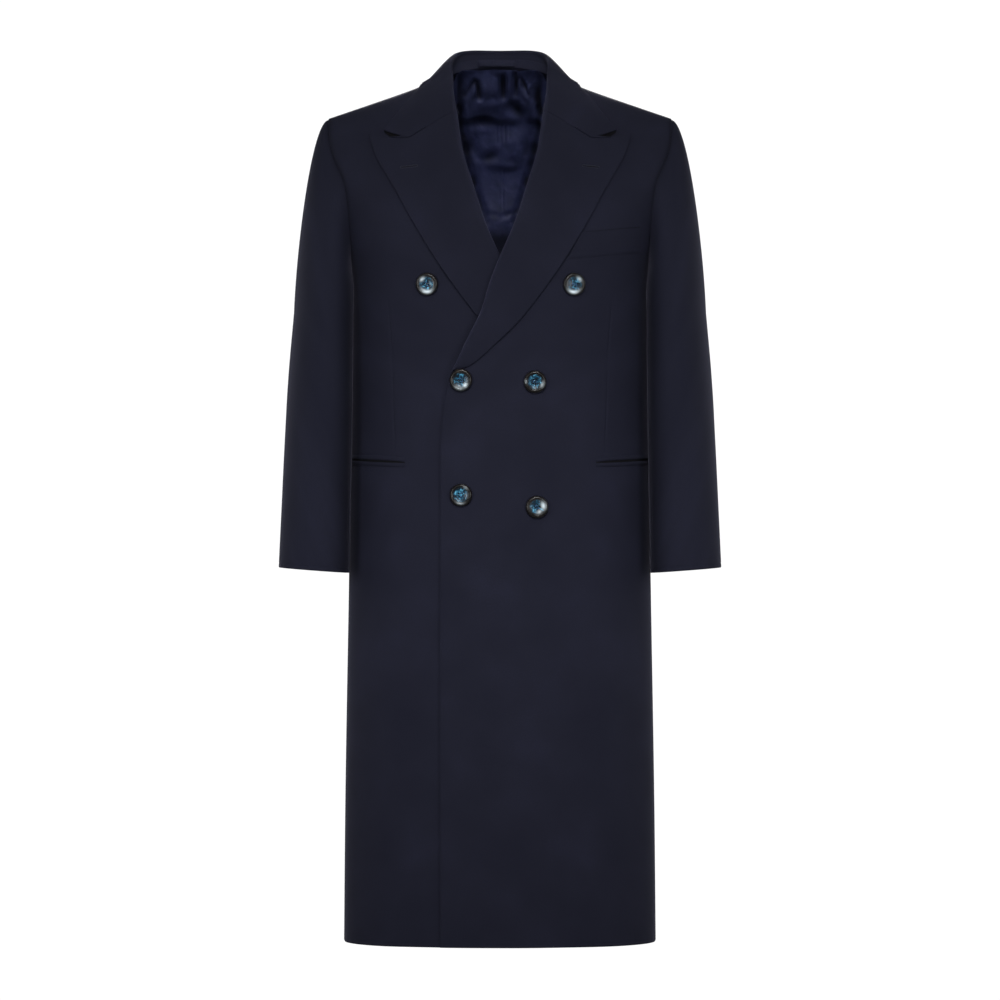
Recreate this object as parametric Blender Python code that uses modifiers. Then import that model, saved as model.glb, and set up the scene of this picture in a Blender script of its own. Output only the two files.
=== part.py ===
"""A long double-breasted overcoat with peaked lapels, hollow and filled out as it is worn.

Metres, +Z up. The front faces -Y and the wearer's left is +X. The origin lies midway between the
two shoulder points, where the wearer's shoulders carry the coat.
"""

import bisect
import math
from collections import namedtuple

import bmesh
import bpy
from mathutils import Vector

FRONT, BACK = -1, 1
LEFT, RIGHT = 1, -1

# Cloth and the gaps between its layers
CLOTH = 0.0025            # wool cloth with its canvas
LINING_CLOTH = 0.0010
TRIM_CLOTH = 0.0015       # pocket jets, welt and hanger loop
SEAM_GAP = 0.0003         # between pieces that are sewn edge to edge
LAY_GAP = 0.0008          # between a panel and what lies on it
LINING_SEAT = 0.0011      # between the back and its lining where the lining is sewn down
LINING_GAP = 0.0032       # and where the lining hangs loose

# Shoulders and neck
SHOULDER_HALF = 0.232     # centre to armhole seam
SHOULDER_HEIGHT = 0.007
SHOULDER_SLOPE = 0.358
RIDGE_ROUNDING = 0.030
NECK_RISE = 0.030
NECK_SPREAD = 0.060
NECK_SHIFT = 0.022        # the shoulder seam runs back towards the neck
NECK_SHIFT_FADE = 0.100
NECK_HALF = 0.075         # centre to the neck point of the shoulder seam
BACK_NECK_HEIGHT, BACK_NECK_SHAPE = 0.084, 2.0
CHEST_REACH, CHEST_POWER = 0.280, 1.6
BLADE_REACH, BLADE_POWER = 0.210, 1.8

# Hem, armhole and front edge
HEM_HEIGHT = -1.103
ARMPIT_HEIGHT = -0.215
ARMHOLE_ANGLE = math.radians(62.0)
ARMHOLE_CURL = 8.0
OVERLAP = 0.0795          # each front runs this far past the centre
OVERLAP_DROP = 0.0036     # the under front lies this far in below the lapels
LAPEL_DROP = 0.0072       # and this far in where its lapel lies between the two fronts
OVERLAP_DROP_TOP = -0.330
LAPEL_DROP_TOP, LAPEL_DROP_END = -0.060, -0.430
DROP_FADE = 0.100
OVERLAP_EASE = (0.085, 0.160)

# Grid of the large panels
LOWER_LEVELS = (HEM_HEIGHT, -1.0, -0.88, -0.76, -0.64, -0.55, -0.48, -0.42, -0.3555, -0.31, -0.26,
                ARMPIT_HEIGHT)
YOKE_STEPS = 10
FRONT_COLUMNS = 13
BACK_COLUMNS = 11
NECK_COLUMN = 5            # the back's column that meets the neck point
SETTLE_STEPS = 12

BodySection = namedtuple("BodySection",
                         "height half_width centre_y front_depth back_depth squareness")
BODY = (
    BodySection(-1.110, 0.2106, 0.006, 0.124, 0.120, 2.30),
    BodySection(-0.900, 0.2085, 0.008, 0.125, 0.116, 2.30),
    BodySection(-0.640, 0.2045, 0.012, 0.129, 0.110, 2.35),
    BodySection(-0.480, 0.2020, 0.012, 0.130, 0.105, 2.40),
    BodySection(-0.360, 0.2000, 0.012, 0.132, 0.096, 2.50),
    BodySection(-0.260, 0.2000, 0.010, 0.136, 0.104, 2.70),
    BodySection(-0.215, 0.2005, 0.006, 0.135, 0.112, 2.80),
    BodySection(-0.190, 0.2040, 0.004, 0.134, 0.116, 2.85),
    BodySection(-0.158, 0.2125, 0.002, 0.132, 0.119, 2.90),
    BodySection(-0.124, 0.2250, 0.000, 0.130, 0.122, 2.90),
    BodySection(-0.085, 0.2430, 0.000, 0.130, 0.122, 2.90),
    BodySection(-0.046, 0.2555, 0.000, 0.130, 0.122, 2.90),
    BodySection(0.005, 0.2620, 0.000, 0.130, 0.122, 2.90),
    BodySection(0.110, 0.2680, 0.000, 0.130, 0.122, 2.90),
)

# The front's inner edge: straight below the buttons, then the roll line up to the neck point
EdgePoint = namedtuple("EdgePoint", "height reach")
FRONT_EDGE = (
    EdgePoint(-1.1100, -OVERLAP),
    EdgePoint(-0.4800, -OVERLAP),
    EdgePoint(-0.4180, -0.0782),
    EdgePoint(-0.3555, -0.0703),
    EdgePoint(-0.3290, -0.0597),
    EdgePoint(-0.2866, -0.0398),
    EdgePoint(-0.2176, -0.0133),
    EdgePoint(-0.1836, 0.0000),
    EdgePoint(-0.1362, 0.0206),
    EdgePoint(-0.0335, 0.0520),
    EdgePoint(0.0110, 0.0575),
    EdgePoint(0.0660, NECK_HALF),
)

# Lapel, row by row from the lowest: where it rolls, and where its free edge lies
LapelRow = namedtuple("LapelRow", "step roll_x roll_z edge_x edge_z")
LAPEL = (
    LapelRow(0, -0.0560, -0.3205, -0.0398, -0.3291),
    LapelRow(1, -0.0420, -0.2905, -0.0066, -0.3012),
    LapelRow(2, -0.0252, -0.2561, 0.0260, -0.2694),
    LapelRow(3, -0.0133, -0.2176, 0.0583, -0.2283),
    LapelRow(4, 0.0000, -0.1836, 0.0882, -0.1850),
    LapelRow(5, 0.0206, -0.1362, 0.1170, -0.1362),
    LapelRow(6, 0.0370, -0.0837, 0.1410, -0.0917),
    LapelRow(7, 0.0500, -0.0400, 0.1649, -0.0501),
    LapelRow(8, 0.0575, 0.0110, 0.1747, -0.0192),
)
NOTCH_X, NOTCH_Z = 0.1222, -0.0258    # inner end of the slit between collar and lapel
LAPEL_COLUMNS, LAPEL_NOTCH_COLUMN, LAPEL_ROWS = 7, 4, 16
LAPEL_TOP_RISE = 0.0032               # how far the lapel's top edge bows up beyond the notch
LAPEL_ROLL, LAPEL_ROLL_SHAPE = 0.0030, 0.55    # how far the lapel stands off near its roll
UNDER_LAPEL_END, UNDER_LAPEL_FADE = -0.200, 0.060
NOTCH_EASE = 1.5

# Collar, station by station from the gorge to the centre back. A negative edge_fall is in front
CollarStation = namedtuple("CollarStation", "step fold_x fold_y fold_z edge_x edge_fall")
COLLAR = (
    CollarStation(0, 0.0575, -0.066, 0.0115, 0.1550, -0.2074),
    CollarStation(1, 0.0615, -0.030, 0.0520, 0.1325, -0.1560),
    CollarStation(2, 0.0645, 0.008, 0.0840, 0.1065, -0.0300),
    CollarStation(3, 0.0605, 0.044, 0.0985, 0.0940, 0.1090),
    CollarStation(4, 0.0430, 0.064, 0.1052, 0.0650, 0.1820),
    CollarStation(5, 0.0000, 0.077, 0.1062, 0.0000, 0.2640),
    CollarStation(6, -0.0430, 0.064, 0.1052, -0.0650, 0.1820),
)
NECK_STEP = 2                         # at the shoulder seam
CENTRE_BACK_STEP = 5                  # the last station repeats the fourth past the centre back
COLLAR_STEPS, COLLAR_COLUMNS, COLLAR_NOTCH_COLUMN = 15, 7, 5
COLLAR_END_RISE = -0.0016             # the collar's end bows down beyond the notch
COLLAR_ROLL, COLLAR_ROLL_SHAPE = 0.0035, 0.55  # how far the leaf swells out below its fold
STAND_COLUMNS = 3
STAND_INSET, STAND_LOWERING = 0.0036, 0.0022
NECK_AXIS_Y = 0.010

SleeveSection = namedtuple("SleeveSection", "height inner_x outer_x front_y back_y")
SLEEVE = (
    SleeveSection(-0.602, 0.2030, 0.2968, -0.0955, 0.0215),
    SleeveSection(-0.520, 0.2022, 0.2931, -0.0965, 0.0375),
    SleeveSection(-0.430, 0.2011, 0.2889, -0.0975, 0.0545),
    SleeveSection(-0.340, 0.2005, 0.2838, -0.0985, 0.0655),
    SleeveSection(-0.255, 0.2004, 0.2763, -0.0980, 0.0680),
)
SLEEVE_SQUARENESS = 2.3
SLEEVE_TURN = math.radians(8.0)      # the front of the sleeve turns in
SLEEVE_COLUMNS = 2 * YOKE_STEPS
CAP_STEPS, TUBE_STEPS = 6, 7
CUFF_TILT = 0.075                     # the cuff's outer edge is higher than its inner edge
CAP_LEAVING, CAP_ARRIVING = 0.27, 1.16    # how strongly the cap leaves the armhole and turns down
CAP_FORWARD, CAP_DOWN, CAP_UNDERARM_DOWN, CAP_FLARE = 0.25, 0.20, 0.90, 0.04
SLEEVE_SEAM_HALF_GAP = 0.00024
FOREARM_SEAM, HINDARM_SEAM = 8, 14    # columns, counted from the top towards the front

# Pockets
WELT_OUTER_X = 0.1870
WELT_LOWER_Z, WELT_LOWER_X = -0.1865, 0.1088
WELT_SLOPE, WELT_HEIGHT = 0.108, 0.034
WELT_COLUMNS, WELT_ROWS = 9, 2
JET_INNER_X, JET_MOUTH_Z, JET_SLOPE = 0.1275, -0.4580, 0.055
JET_OUTER_ANGLE = math.radians(84.0)
JET_HEIGHT, JET_MOUTH = 0.0055, 0.0010
JET_COLUMNS = 8

# Buttons: place on the front, and how far each leans over
Button = namedtuple("Button", "name side x z lean_x lean_z")
BUTTONS = (
    Button("button_top_right", RIGHT, -0.0981, -0.2216, 2.0, 2.0),
    Button("button_top_left", LEFT, 0.0981, -0.2216, -2.0, 2.0),
    Button("button_middle_right", LEFT, -0.0517, -0.3489, 0.0, 3.0),
    Button("button_middle_left", LEFT, 0.0464, -0.3510, -5.0, 2.0),
    Button("button_bottom_right", LEFT, -0.0517, -0.5014, 0.0, 2.0),
    Button("button_bottom_left", LEFT, 0.0490, -0.5173, -3.0, 2.0),
)
BUTTON_RADIUS, BUTTON_THICK = 0.0150, 0.0046
BUTTON_RIM, BUTTON_DISH = 0.0036, 0.0014
BUTTON_SLOPE, BUTTON_ROUND = 0.0022, 0.0012
BUTTON_SIDES = 24

# Back lining, down to the waist, and its loose folds
LINING_ANGLE = math.radians(55.0)
LINING_END, LINING_TOP_MARGIN, LINING_LEAST_FALL = -0.340, 0.012, 0.125
LINING_ROWS, LINING_COLUMNS, LINING_LOOSE_COLUMN = 14, 16, 3
LiningFold = namedtuple("LiningFold", "height depth spread")
LINING_FOLDS = (
    LiningFold(0.050, 0.0030, 0.010),
    LiningFold(0.026, 0.0045, 0.012),
    LiningFold(-0.036, 0.0050, 0.020),
    LiningFold(-0.110, 0.0030, 0.020),
)

# Hanger loop inside the back neck
LOOP_CENTRE_X, LOOP_LENGTH, LOOP_WIDTH, LOOP_HEIGHT = -0.0045, 0.050, 0.008, 0.0870
LOOP_BOW = 0.0085
LOOP_COLUMNS = 8

Finish = namedtuple("Finish", "name colour roughness")
WOOL = Finish("navy_wool", (0.012, 0.014, 0.022), 0.85)
SATIN = Finish("navy_satin", (0.008, 0.010, 0.034), 0.40)
HORN = Finish("dark_horn", (0.014, 0.016, 0.022), 0.25)
SHARP_ANGLE = math.radians(50.0)


def mix(start, end, share):
    return start + (end - start) * share


def ease(share):
    share = min(max(share, 0.0), 1.0)
    return share * share * (3.0 - 2.0 * share)


def track(table, place, column):
    """A named column at a place along the table's first column, on a smooth curve through its rows."""
    places = [row[0] for row in table]
    last = len(table) - 1
    index = min(max(bisect.bisect_right(places, place) - 1, 0), last - 1)

    def slope(row):
        low, high = table[max(row - 1, 0)], table[min(row + 1, last)]
        return (getattr(high, column) - getattr(low, column)) / (high[0] - low[0])

    start, end = table[index], table[index + 1]
    span = end[0] - start[0]
    t = min(max((place - start[0]) / span, 0.0), 1.0)
    from_start = (1.0 + 2.0 * t) * (1.0 - t) ** 2 * getattr(start, column)
    from_end = t * t * (3.0 - 2.0 * t) * getattr(end, column)
    leaving = t * (1.0 - t) ** 2 * span * slope(index)
    arriving = t * t * (t - 1.0) * span * slope(index + 1)
    return from_start + from_end + leaving + arriving


# The coat's outer face. An angle of 0 is the centre line and a quarter turn is the side seam, and
# the square of the fall is how far a point lies below the shoulder ridge.


def ridge_height(x):
    sloping = SHOULDER_HEIGHT + SHOULDER_SLOPE * (SHOULDER_HALF - math.hypot(x, RIDGE_ROUNDING))
    return sloping + NECK_RISE * math.exp(-((x / NECK_SPREAD) ** 2))


def ridge_shift(x, drop):
    across = max(1.0 - (x / SHOULDER_HALF) ** 2, 0.0)
    return NECK_SHIFT * across * math.exp(-drop / NECK_SHIFT_FADE)


def body_point(angle, fall, face):
    drop = fall * fall
    sine = math.sin(angle)
    x = 0.0
    for _ in range(SETTLE_STEPS):
        x = track(BODY, ridge_height(x) - drop, "half_width") * sine
    height = ridge_height(x) - drop
    if face == FRONT:
        depth, reach, power = track(BODY, height, "front_depth"), CHEST_REACH, CHEST_POWER
    else:
        depth, reach, power = track(BODY, height, "back_depth"), BLADE_REACH, BLADE_POWER
    swell = math.sqrt(1.0 - (1.0 - min(drop / reach, 1.0)) ** power)
    squareness = track(BODY, height, "squareness")
    corner = max(1.0 - abs(sine) ** squareness, 0.0) ** (1.0 / squareness)
    depth *= math.copysign(swell, fall) * math.copysign(corner, math.cos(angle))
    y = track(BODY, height, "centre_y") + ridge_shift(x, drop) + face * depth
    return Vector((x, y, height))


def body_normal(angle, fall, face):
    step = 1e-3
    across = body_point(angle + step, fall, face) - body_point(angle - step, fall, face)
    along = body_point(angle, fall + step, face) - body_point(angle, fall - step, face)
    return across.cross(along).normalized() * face


def place_on_body(x, z):
    """The angle and fall of the point of the outer face that shows at x, z."""
    sine = x / track(BODY, z, "half_width")
    angle = math.asin(min(max(sine, -1.0), 1.0))
    return angle, math.sqrt(max(ridge_height(x) - z, 0.0))


ARMPIT_FALL = math.sqrt(ridge_height(track(BODY, ARMPIT_HEIGHT, "half_width")) - ARMPIT_HEIGHT)


def armhole_angle(fall):
    return mix(ARMHOLE_ANGLE, math.pi / 2, (fall / ARMPIT_FALL) ** ARMHOLE_CURL)


def armhole_share(step):
    """How far down the armhole yoke row number step meets it, from 1 at the armpit to 0."""
    return math.cos(math.pi / 2 * step / YOKE_STEPS)


def neckline_fall(x):
    """The fall of the back's neckline, which is lowest at the neck points of the shoulder seams."""
    out = min(abs(x) / NECK_HALF, 1.0)
    height = mix(BACK_NECK_HEIGHT, ridge_height(NECK_HALF), out ** BACK_NECK_SHAPE)
    return math.sqrt(max(ridge_height(x) - height, 0.0)) if out < 1.0 else 0.0


def front_drop(side, x, z):
    """How far the under front lies inside the outer face. x counts towards the front's own side."""
    if side == LEFT:
        return 0.0
    between_lapels = ease((z - LAPEL_DROP_END) / DROP_FADE) * ease((LAPEL_DROP_TOP - z) / DROP_FADE)
    below = ease((OVERLAP_DROP_TOP - z) / DROP_FADE)
    depth = LAPEL_DROP * between_lapels + OVERLAP_DROP * below * (1.0 - between_lapels)
    start, end = OVERLAP_EASE
    return depth * ease((end - x) / (end - start))


def mirrored(point, side):
    return Vector((point.x * side, point.y, point.z))


def front_spot(side, x, z, out=0.0):
    """A point this far out from the front panel, and the panel's outward direction there."""
    angle, fall = place_on_body(x, z)
    normal = body_normal(angle, fall, FRONT)
    point = body_point(angle, fall, FRONT) + normal * (out - front_drop(side, x, z))
    return mirrored(point, side), mirrored(normal, side)


# Making the solids


def material_for(finish):
    material = bpy.data.materials.get(finish.name)
    if material is None:
        material = bpy.data.materials.new(finish.name)
        material.use_nodes = True
        shader = material.node_tree.nodes["Principled BSDF"]
        shader.inputs["Base Color"].default_value = (*finish.colour, 1.0)
        shader.inputs["Roughness"].default_value = finish.roughness
        shader.inputs["Metallic"].default_value = 0.0
    return material


def add_object(name, mesh, finish):
    mesh.materials.append(material_for(finish))
    mesh.shade_smooth()
    mesh.set_sharp_from_angle(angle=SHARP_ANGLE)
    piece = bpy.data.objects.new(name, mesh)
    coat.objects.link(piece)
    return piece


def make_wall(name, outer, inner, finish=WOOL):
    """A closed cloth wall between two grids of points that have the same rows and columns."""
    rows, columns = len(outer), len(outer[0])
    form = bmesh.new()
    faces_out = [[form.verts.new(point) for point in row] for row in outer]
    faces_in = [[form.verts.new(point) for point in row] for row in inner]
    for grid in (faces_out, faces_in):
        for row in range(rows - 1):
            for column in range(columns - 1):
                form.faces.new((grid[row][column], grid[row][column + 1],
                                grid[row + 1][column + 1], grid[row + 1][column]))
    border = [(0, column) for column in range(columns)]
    border += [(row, columns - 1) for row in range(1, rows)]
    border += [(rows - 1, column) for column in range(columns - 2, -1, -1)]
    border += [(row, 0) for row in range(rows - 2, 0, -1)]
    for (row, column), (next_row, next_column) in zip(border, border[1:] + border[:1]):
        form.faces.new((faces_out[row][column], faces_out[next_row][next_column],
                        faces_in[next_row][next_column], faces_in[row][column]))
    bmesh.ops.recalc_face_normals(form, faces=form.faces)
    mesh = bpy.data.meshes.new(name)
    form.to_mesh(mesh)
    form.free()
    return add_object(name, mesh, finish)


def grid_normals(grid):
    """The direction square to a grid at each of its points."""
    last_row, last_column = len(grid) - 1, len(grid[0]) - 1
    normals = []
    for row in range(last_row + 1):
        normals.append([])
        for column in range(last_column + 1):
            along = grid[min(row + 1, last_row)][column] - grid[max(row - 1, 0)][column]
            across = grid[row][min(column + 1, last_column)] - grid[row][max(column - 1, 0)]
            normals[-1].append(along.cross(across).normalized())
    return normals


def moved(grid, normals, distance):
    return [[point + normal * distance for point, normal in zip(points, row)]
            for points, row in zip(grid, normals)]


# Fronts and backs


def edge_at_fall(fall):
    """The x and z of the front's inner edge at this fall below the shoulder ridge."""
    z = -fall * fall
    for _ in range(SETTLE_STEPS):
        x = track(FRONT_EDGE, z, "reach")
        z = ridge_height(x) - fall * fall
    return x, z


def level_row(start_x, z, columns):
    """Angle and fall along a level row, from start_x round to the side seam."""
    start_angle, _ = place_on_body(start_x, z)
    half_width = track(BODY, z, "half_width")
    row = []
    for column in range(columns + 1):
        angle = mix(start_angle, math.pi / 2, column / columns)
        fall = math.sqrt(ridge_height(half_width * math.sin(angle)) - z)
        row.append((angle, fall))
    return row


def front_places():
    rows = [level_row(track(FRONT_EDGE, z, "reach"), z, FRONT_COLUMNS) for z in LOWER_LEVELS]
    armpit_row = rows[-1]
    for step in range(1, YOKE_STEPS + 1):
        share = armhole_share(step)
        inner_angle, _ = place_on_body(*edge_at_fall(armpit_row[0][1] * share))
        outer_angle = armhole_angle(ARMPIT_FALL * share)
        row = []
        for column in range(FRONT_COLUMNS + 1):
            angle = mix(inner_angle, outer_angle, column / FRONT_COLUMNS)
            row.append((angle, armpit_row[column][1] * share))
        rows.append(row)
    return rows


def back_top_angle(column, outer_angle):
    """The angle of a column at the back's top edge, which is the neckline and then the shoulder."""
    neck_sine = NECK_HALF / track(BODY, ridge_height(NECK_HALF), "half_width")
    if column <= NECK_COLUMN:
        return math.asin(neck_sine * math.sin(math.pi / 2 * column / NECK_COLUMN))
    along_shoulder = (column - NECK_COLUMN) / (BACK_COLUMNS - NECK_COLUMN)
    return mix(math.asin(neck_sine), outer_angle, along_shoulder)


def back_places():
    rows = [level_row(0.0, z, BACK_COLUMNS) for z in LOWER_LEVELS]
    armpit_row = rows[-1]
    for step in range(1, YOKE_STEPS + 1):
        share = armhole_share(step)
        outer_angle = armhole_angle(ARMPIT_FALL * share)
        row = []
        for column in range(BACK_COLUMNS + 1):
            top_angle = back_top_angle(column, ARMHOLE_ANGLE)
            top_fall = neckline_fall(body_point(top_angle, 0.0, BACK).x)
            angle = mix(back_top_angle(column, outer_angle), outer_angle * column / BACK_COLUMNS, share)
            row.append((angle, mix(top_fall, armpit_row[column][1], share)))
        rows.append(row)
    return rows


def make_panel(name, side, face, places):
    """A front or back from its places, with half a seam's gap along its seams."""
    outer, inner = [], []
    half_gap = SEAM_GAP / 2
    last_level = len(LOWER_LEVELS) - 1
    for index, row in enumerate(places):
        outer.append([])
        inner.append([])
        for column, (angle, fall) in enumerate(row):
            point = body_point(angle, fall, face)
            normal = body_normal(angle, fall, face)
            shift = Vector((0.0, 0.0, 0.0))
            at_side_seam = column == len(row) - 1 and index <= last_level
            at_shoulder_seam = index == len(places) - 1 and (face == FRONT or fall < 1e-6)
            if at_side_seam or at_shoulder_seam:
                shift.y = face * half_gap
            if face == BACK and column == 0:
                shift.x = half_gap
                normal.x = 0.0
                normal.normalize()
            if face == FRONT:
                point = point - normal * front_drop(side, point.x, point.z)
            outer[-1].append(mirrored(point + shift, side))
            inner[-1].append(mirrored(point + shift - normal * CLOTH, side))
    return make_wall(name, outer, inner)


# Lapels, welt, jets and buttons, which all lie on the fronts


def notched(start, end, share, notch_share, rise):
    """A path from the roll line to the notch, where it bends, and on to a free corner in a bow."""
    notch = Vector((NOTCH_X, NOTCH_Z))
    if share < notch_share:
        return mix(start, notch, share / notch_share)
    beyond = (share - notch_share) / (1.0 - notch_share)
    return mix(notch, end, beyond) + Vector((0.0, rise * math.sin(math.pi * beyond)))


def lapel_place(step, share):
    """The x and z of a lapel point, from the roll line at share 0 to the free edge at 1."""
    roll = Vector((track(LAPEL, step, "roll_x"), track(LAPEL, step, "roll_z")))
    edge = Vector((track(LAPEL, step, "edge_x"), track(LAPEL, step, "edge_z")))
    last = LAPEL[-1].step
    bend = max(step - last + 1.0, 0.0) ** NOTCH_EASE
    top = notched(roll, edge, share, LAPEL_NOTCH_COLUMN / LAPEL_COLUMNS, LAPEL_TOP_RISE)
    return mix(mix(roll, edge, share), top, bend)


def lapel_stand_off(side, share, z):
    """How far the lapel rolls off its front. The under lapel lies flat where the other front covers it."""
    free = 1.0 if side == LEFT else ease((z - UNDER_LAPEL_END) / UNDER_LAPEL_FADE)
    return free * LAPEL_ROLL * math.sin(math.pi * share ** LAPEL_ROLL_SHAPE)


def make_lapel(name, side):
    outer, inner = [], []
    for row in range(LAPEL_ROWS + 1):
        step = LAPEL[-1].step * row / LAPEL_ROWS
        shares = [column / LAPEL_COLUMNS for column in range(LAPEL_COLUMNS + 1)]
        places = [lapel_place(step, share) for share in shares]
        lifts = [LAY_GAP + lapel_stand_off(side, share, place.y) for share, place in zip(shares, places)]
        outer.append([front_spot(side, *place, lift + CLOTH)[0] for place, lift in zip(places, lifts)])
        inner.append([front_spot(side, *place, lift)[0] for place, lift in zip(places, lifts)])
    return make_wall(name, outer, inner)


def lapel_edge_x(z):
    """Where the lapel's free edge lies at this height."""
    rows = sorted((row.edge_z, row.edge_x) for row in LAPEL)
    for (low_z, low_x), (high_z, high_x) in zip(rows, rows[1:]):
        if low_z <= z <= high_z:
            return mix(low_x, high_x, (z - low_z) / (high_z - low_z))
    return rows[-1][1]


def make_strip(name, side, places, thick):
    """A flat strip that lies on a front, from rows of its x and z."""
    outer = [[front_spot(side, x, z, LAY_GAP + thick)[0] for x, z in row] for row in places]
    inner = [[front_spot(side, x, z, LAY_GAP)[0] for x, z in row] for row in places]
    return make_wall(name, outer, inner)


def make_chest_welt():
    rows = []
    for row in range(WELT_ROWS + 1):
        lower_z = WELT_LOWER_Z + WELT_HEIGHT * row / WELT_ROWS
        inner_x = lapel_edge_x(lower_z) + 2 * LAY_GAP
        rows.append([])
        for column in range(WELT_COLUMNS + 1):
            x = mix(inner_x, WELT_OUTER_X, column / WELT_COLUMNS)
            rows[-1].append((x, lower_z + WELT_SLOPE * (x - WELT_LOWER_X)))
    return make_strip("chest_welt", LEFT, rows, TRIM_CLOTH)


def make_jets(side, side_name):
    inner_angle, _ = place_on_body(JET_INNER_X, JET_MOUTH_Z)
    half_width = track(BODY, JET_MOUTH_Z, "half_width")
    for name, direction in (("upper_jet_", 1), ("lower_jet_", -1)):
        rows = []
        for away in (JET_MOUTH / 2, JET_MOUTH / 2 + JET_HEIGHT):
            rows.append([])
            for column in range(JET_COLUMNS + 1):
                angle = mix(inner_angle, JET_OUTER_ANGLE, column / JET_COLUMNS)
                x = half_width * math.sin(angle)
                rows[-1].append((x, JET_MOUTH_Z + JET_SLOPE * (x - JET_INNER_X) + direction * away))
        make_strip(name + side_name, side, rows, TRIM_CLOTH)


def make_button(button):
    """A turned button with a raised rim round a dished middle, leaning a little on its thread."""
    dish = BUTTON_THICK - BUTTON_DISH
    inner_rim = BUTTON_RADIUS - BUTTON_RIM
    profile = ((0.0, dish), (inner_rim - BUTTON_SLOPE, dish), (inner_rim, BUTTON_THICK),
               (BUTTON_RADIUS - BUTTON_ROUND, BUTTON_THICK), (BUTTON_RADIUS, BUTTON_THICK / 2),
               (BUTTON_RADIUS - BUTTON_SLOPE, 0.0), (0.0, 0.0))
    mesh = bpy.data.meshes.new(button.name)
    edges = [(index, index + 1) for index in range(len(profile) - 1)]
    mesh.from_pydata([(radius, 0.0, height) for radius, height in profile], edges, [])
    piece = add_object(button.name, mesh, HORN)
    turn = piece.modifiers.new("Turn", "SCREW")
    turn.steps = turn.render_steps = BUTTON_SIDES
    turn.use_merge_vertices = True
    turn.merge_threshold = 1e-5
    lean = max(abs(button.lean_x), abs(button.lean_z))
    own_x = button.x * button.side
    seat = SEAM_GAP + BUTTON_RADIUS * math.sin(math.radians(lean))
    place, normal = front_spot(button.side, own_x, button.z, seat)
    piece.location = place
    leaning = Vector((math.radians(button.lean_x), 0.0, math.radians(button.lean_z)))
    piece.rotation_mode = "QUATERNION"
    piece.rotation_quaternion = (normal + leaning).to_track_quat("Z", "Y")
    return piece


# Collar


def clear_of_body(point, gap):
    """The point, moved out where it lies nearer than this to the fronts or the backs."""
    for _ in range(SETTLE_STEPS):
        angle, fall = place_on_body(point.x, point.z)
        face = FRONT if point.y < ridge_shift(point.x, fall * fall) else BACK
        if face == BACK and fall < neckline_fall(point.x):
            break
        normal = body_normal(angle, fall, face)
        height = (point - body_point(angle, fall, face)).dot(normal)
        if height < gap:
            point = point + normal * (gap - height)
    return point


def collar_fold(step):
    return Vector([track(COLLAR, step, column) for column in ("fold_x", "fold_y", "fold_z")])


def collar_edge(step):
    x, fall = track(COLLAR, step, "edge_x"), track(COLLAR, step, "edge_fall")
    face = FRONT if fall < 0.0 else BACK
    z = ridge_height(x) - fall * fall
    angle, _ = place_on_body(x, z)
    return body_point(angle, abs(fall), face)


def collar_leaf_point(step, share):
    fold, edge = collar_fold(step), collar_edge(step)
    point = mix(fold, edge, share)
    bend = max(1.0 - step, 0.0) ** NOTCH_EASE
    if bend > 0.0:
        straight = Vector((point.x, point.z))
        turned = notched(Vector((fold.x, fold.z)), Vector((edge.x, edge.z)), share,
                         COLLAR_NOTCH_COLUMN / COLLAR_COLUMNS, COLLAR_END_RISE)
        place = mix(straight, turned + Vector((0.0, SEAM_GAP)), bend)
        point = Vector((place.x, point.y, place.y))
    return clear_of_body(point, LAY_GAP + CLOTH)


def both_sides(make_row):
    """Rows from the right gorge round the back to the left gorge, from rows of the left half."""
    rows = []
    for index in range(-COLLAR_STEPS, COLLAR_STEPS + 1):
        row = make_row(CENTRE_BACK_STEP * (1.0 - abs(index) / COLLAR_STEPS))
        rows.append([mirrored(point, -1 if index < 0 else 1) for point in row])
    return rows


def make_collar_leaf():
    def leaf_row(step):
        return [collar_leaf_point(step, column / COLLAR_COLUMNS)
                for column in range(COLLAR_COLUMNS + 1)]

    flat = both_sides(leaf_row)
    swell = [COLLAR_ROLL * math.sin(math.pi * (column / COLLAR_COLUMNS) ** COLLAR_ROLL_SHAPE)
             for column in range(COLLAR_COLUMNS + 1)]
    outer = [[point + normal * out for point, normal, out in zip(points, normals, swell)]
             for points, normals in zip(flat, grid_normals(flat))]
    inner = moved(outer, grid_normals(outer), -CLOTH)
    return make_wall("collar_leaf", outer, inner)


def neck_seam():
    """The panels' own points along the neck edge, from the gorge to the centre back: each with its
    face and its step along the collar."""
    seam = []
    for row in front_places()[len(LOWER_LEVELS):]:
        angle, fall = row[0]
        height = body_point(angle, fall, FRONT).z
        step = NECK_STEP * (height - COLLAR[0].fold_z) / (ridge_height(NECK_HALF) - COLLAR[0].fold_z)
        if step > 0.0:
            seam.append((angle, fall, FRONT, min(step, NECK_STEP)))
    back_top = back_places()[-1][:NECK_COLUMN]
    for column, (angle, fall) in reversed(list(enumerate(back_top))):
        step = mix(CENTRE_BACK_STEP, NECK_STEP, column / NECK_COLUMN)
        seam.append((angle, fall, BACK, step))
    return seam


def stand_row(seam_place, depth):
    """A row of the collar stand, from the neck seam up to just inside the fold."""
    angle, fall, face, step = seam_place
    fold = collar_fold(step)
    inward = Vector((-fold.x, NECK_AXIS_Y - fold.y, 0.0)).normalized()
    top = fold + inward * (STAND_INSET + depth) - Vector((0.0, 0.0, STAND_LOWERING))
    foot = body_point(angle, fall, face) - body_normal(angle, fall, face) * depth
    foot += (top - foot).normalized() * SEAM_GAP * 2
    return [mix(foot, top, column / STAND_COLUMNS) for column in range(STAND_COLUMNS + 1)]


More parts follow.
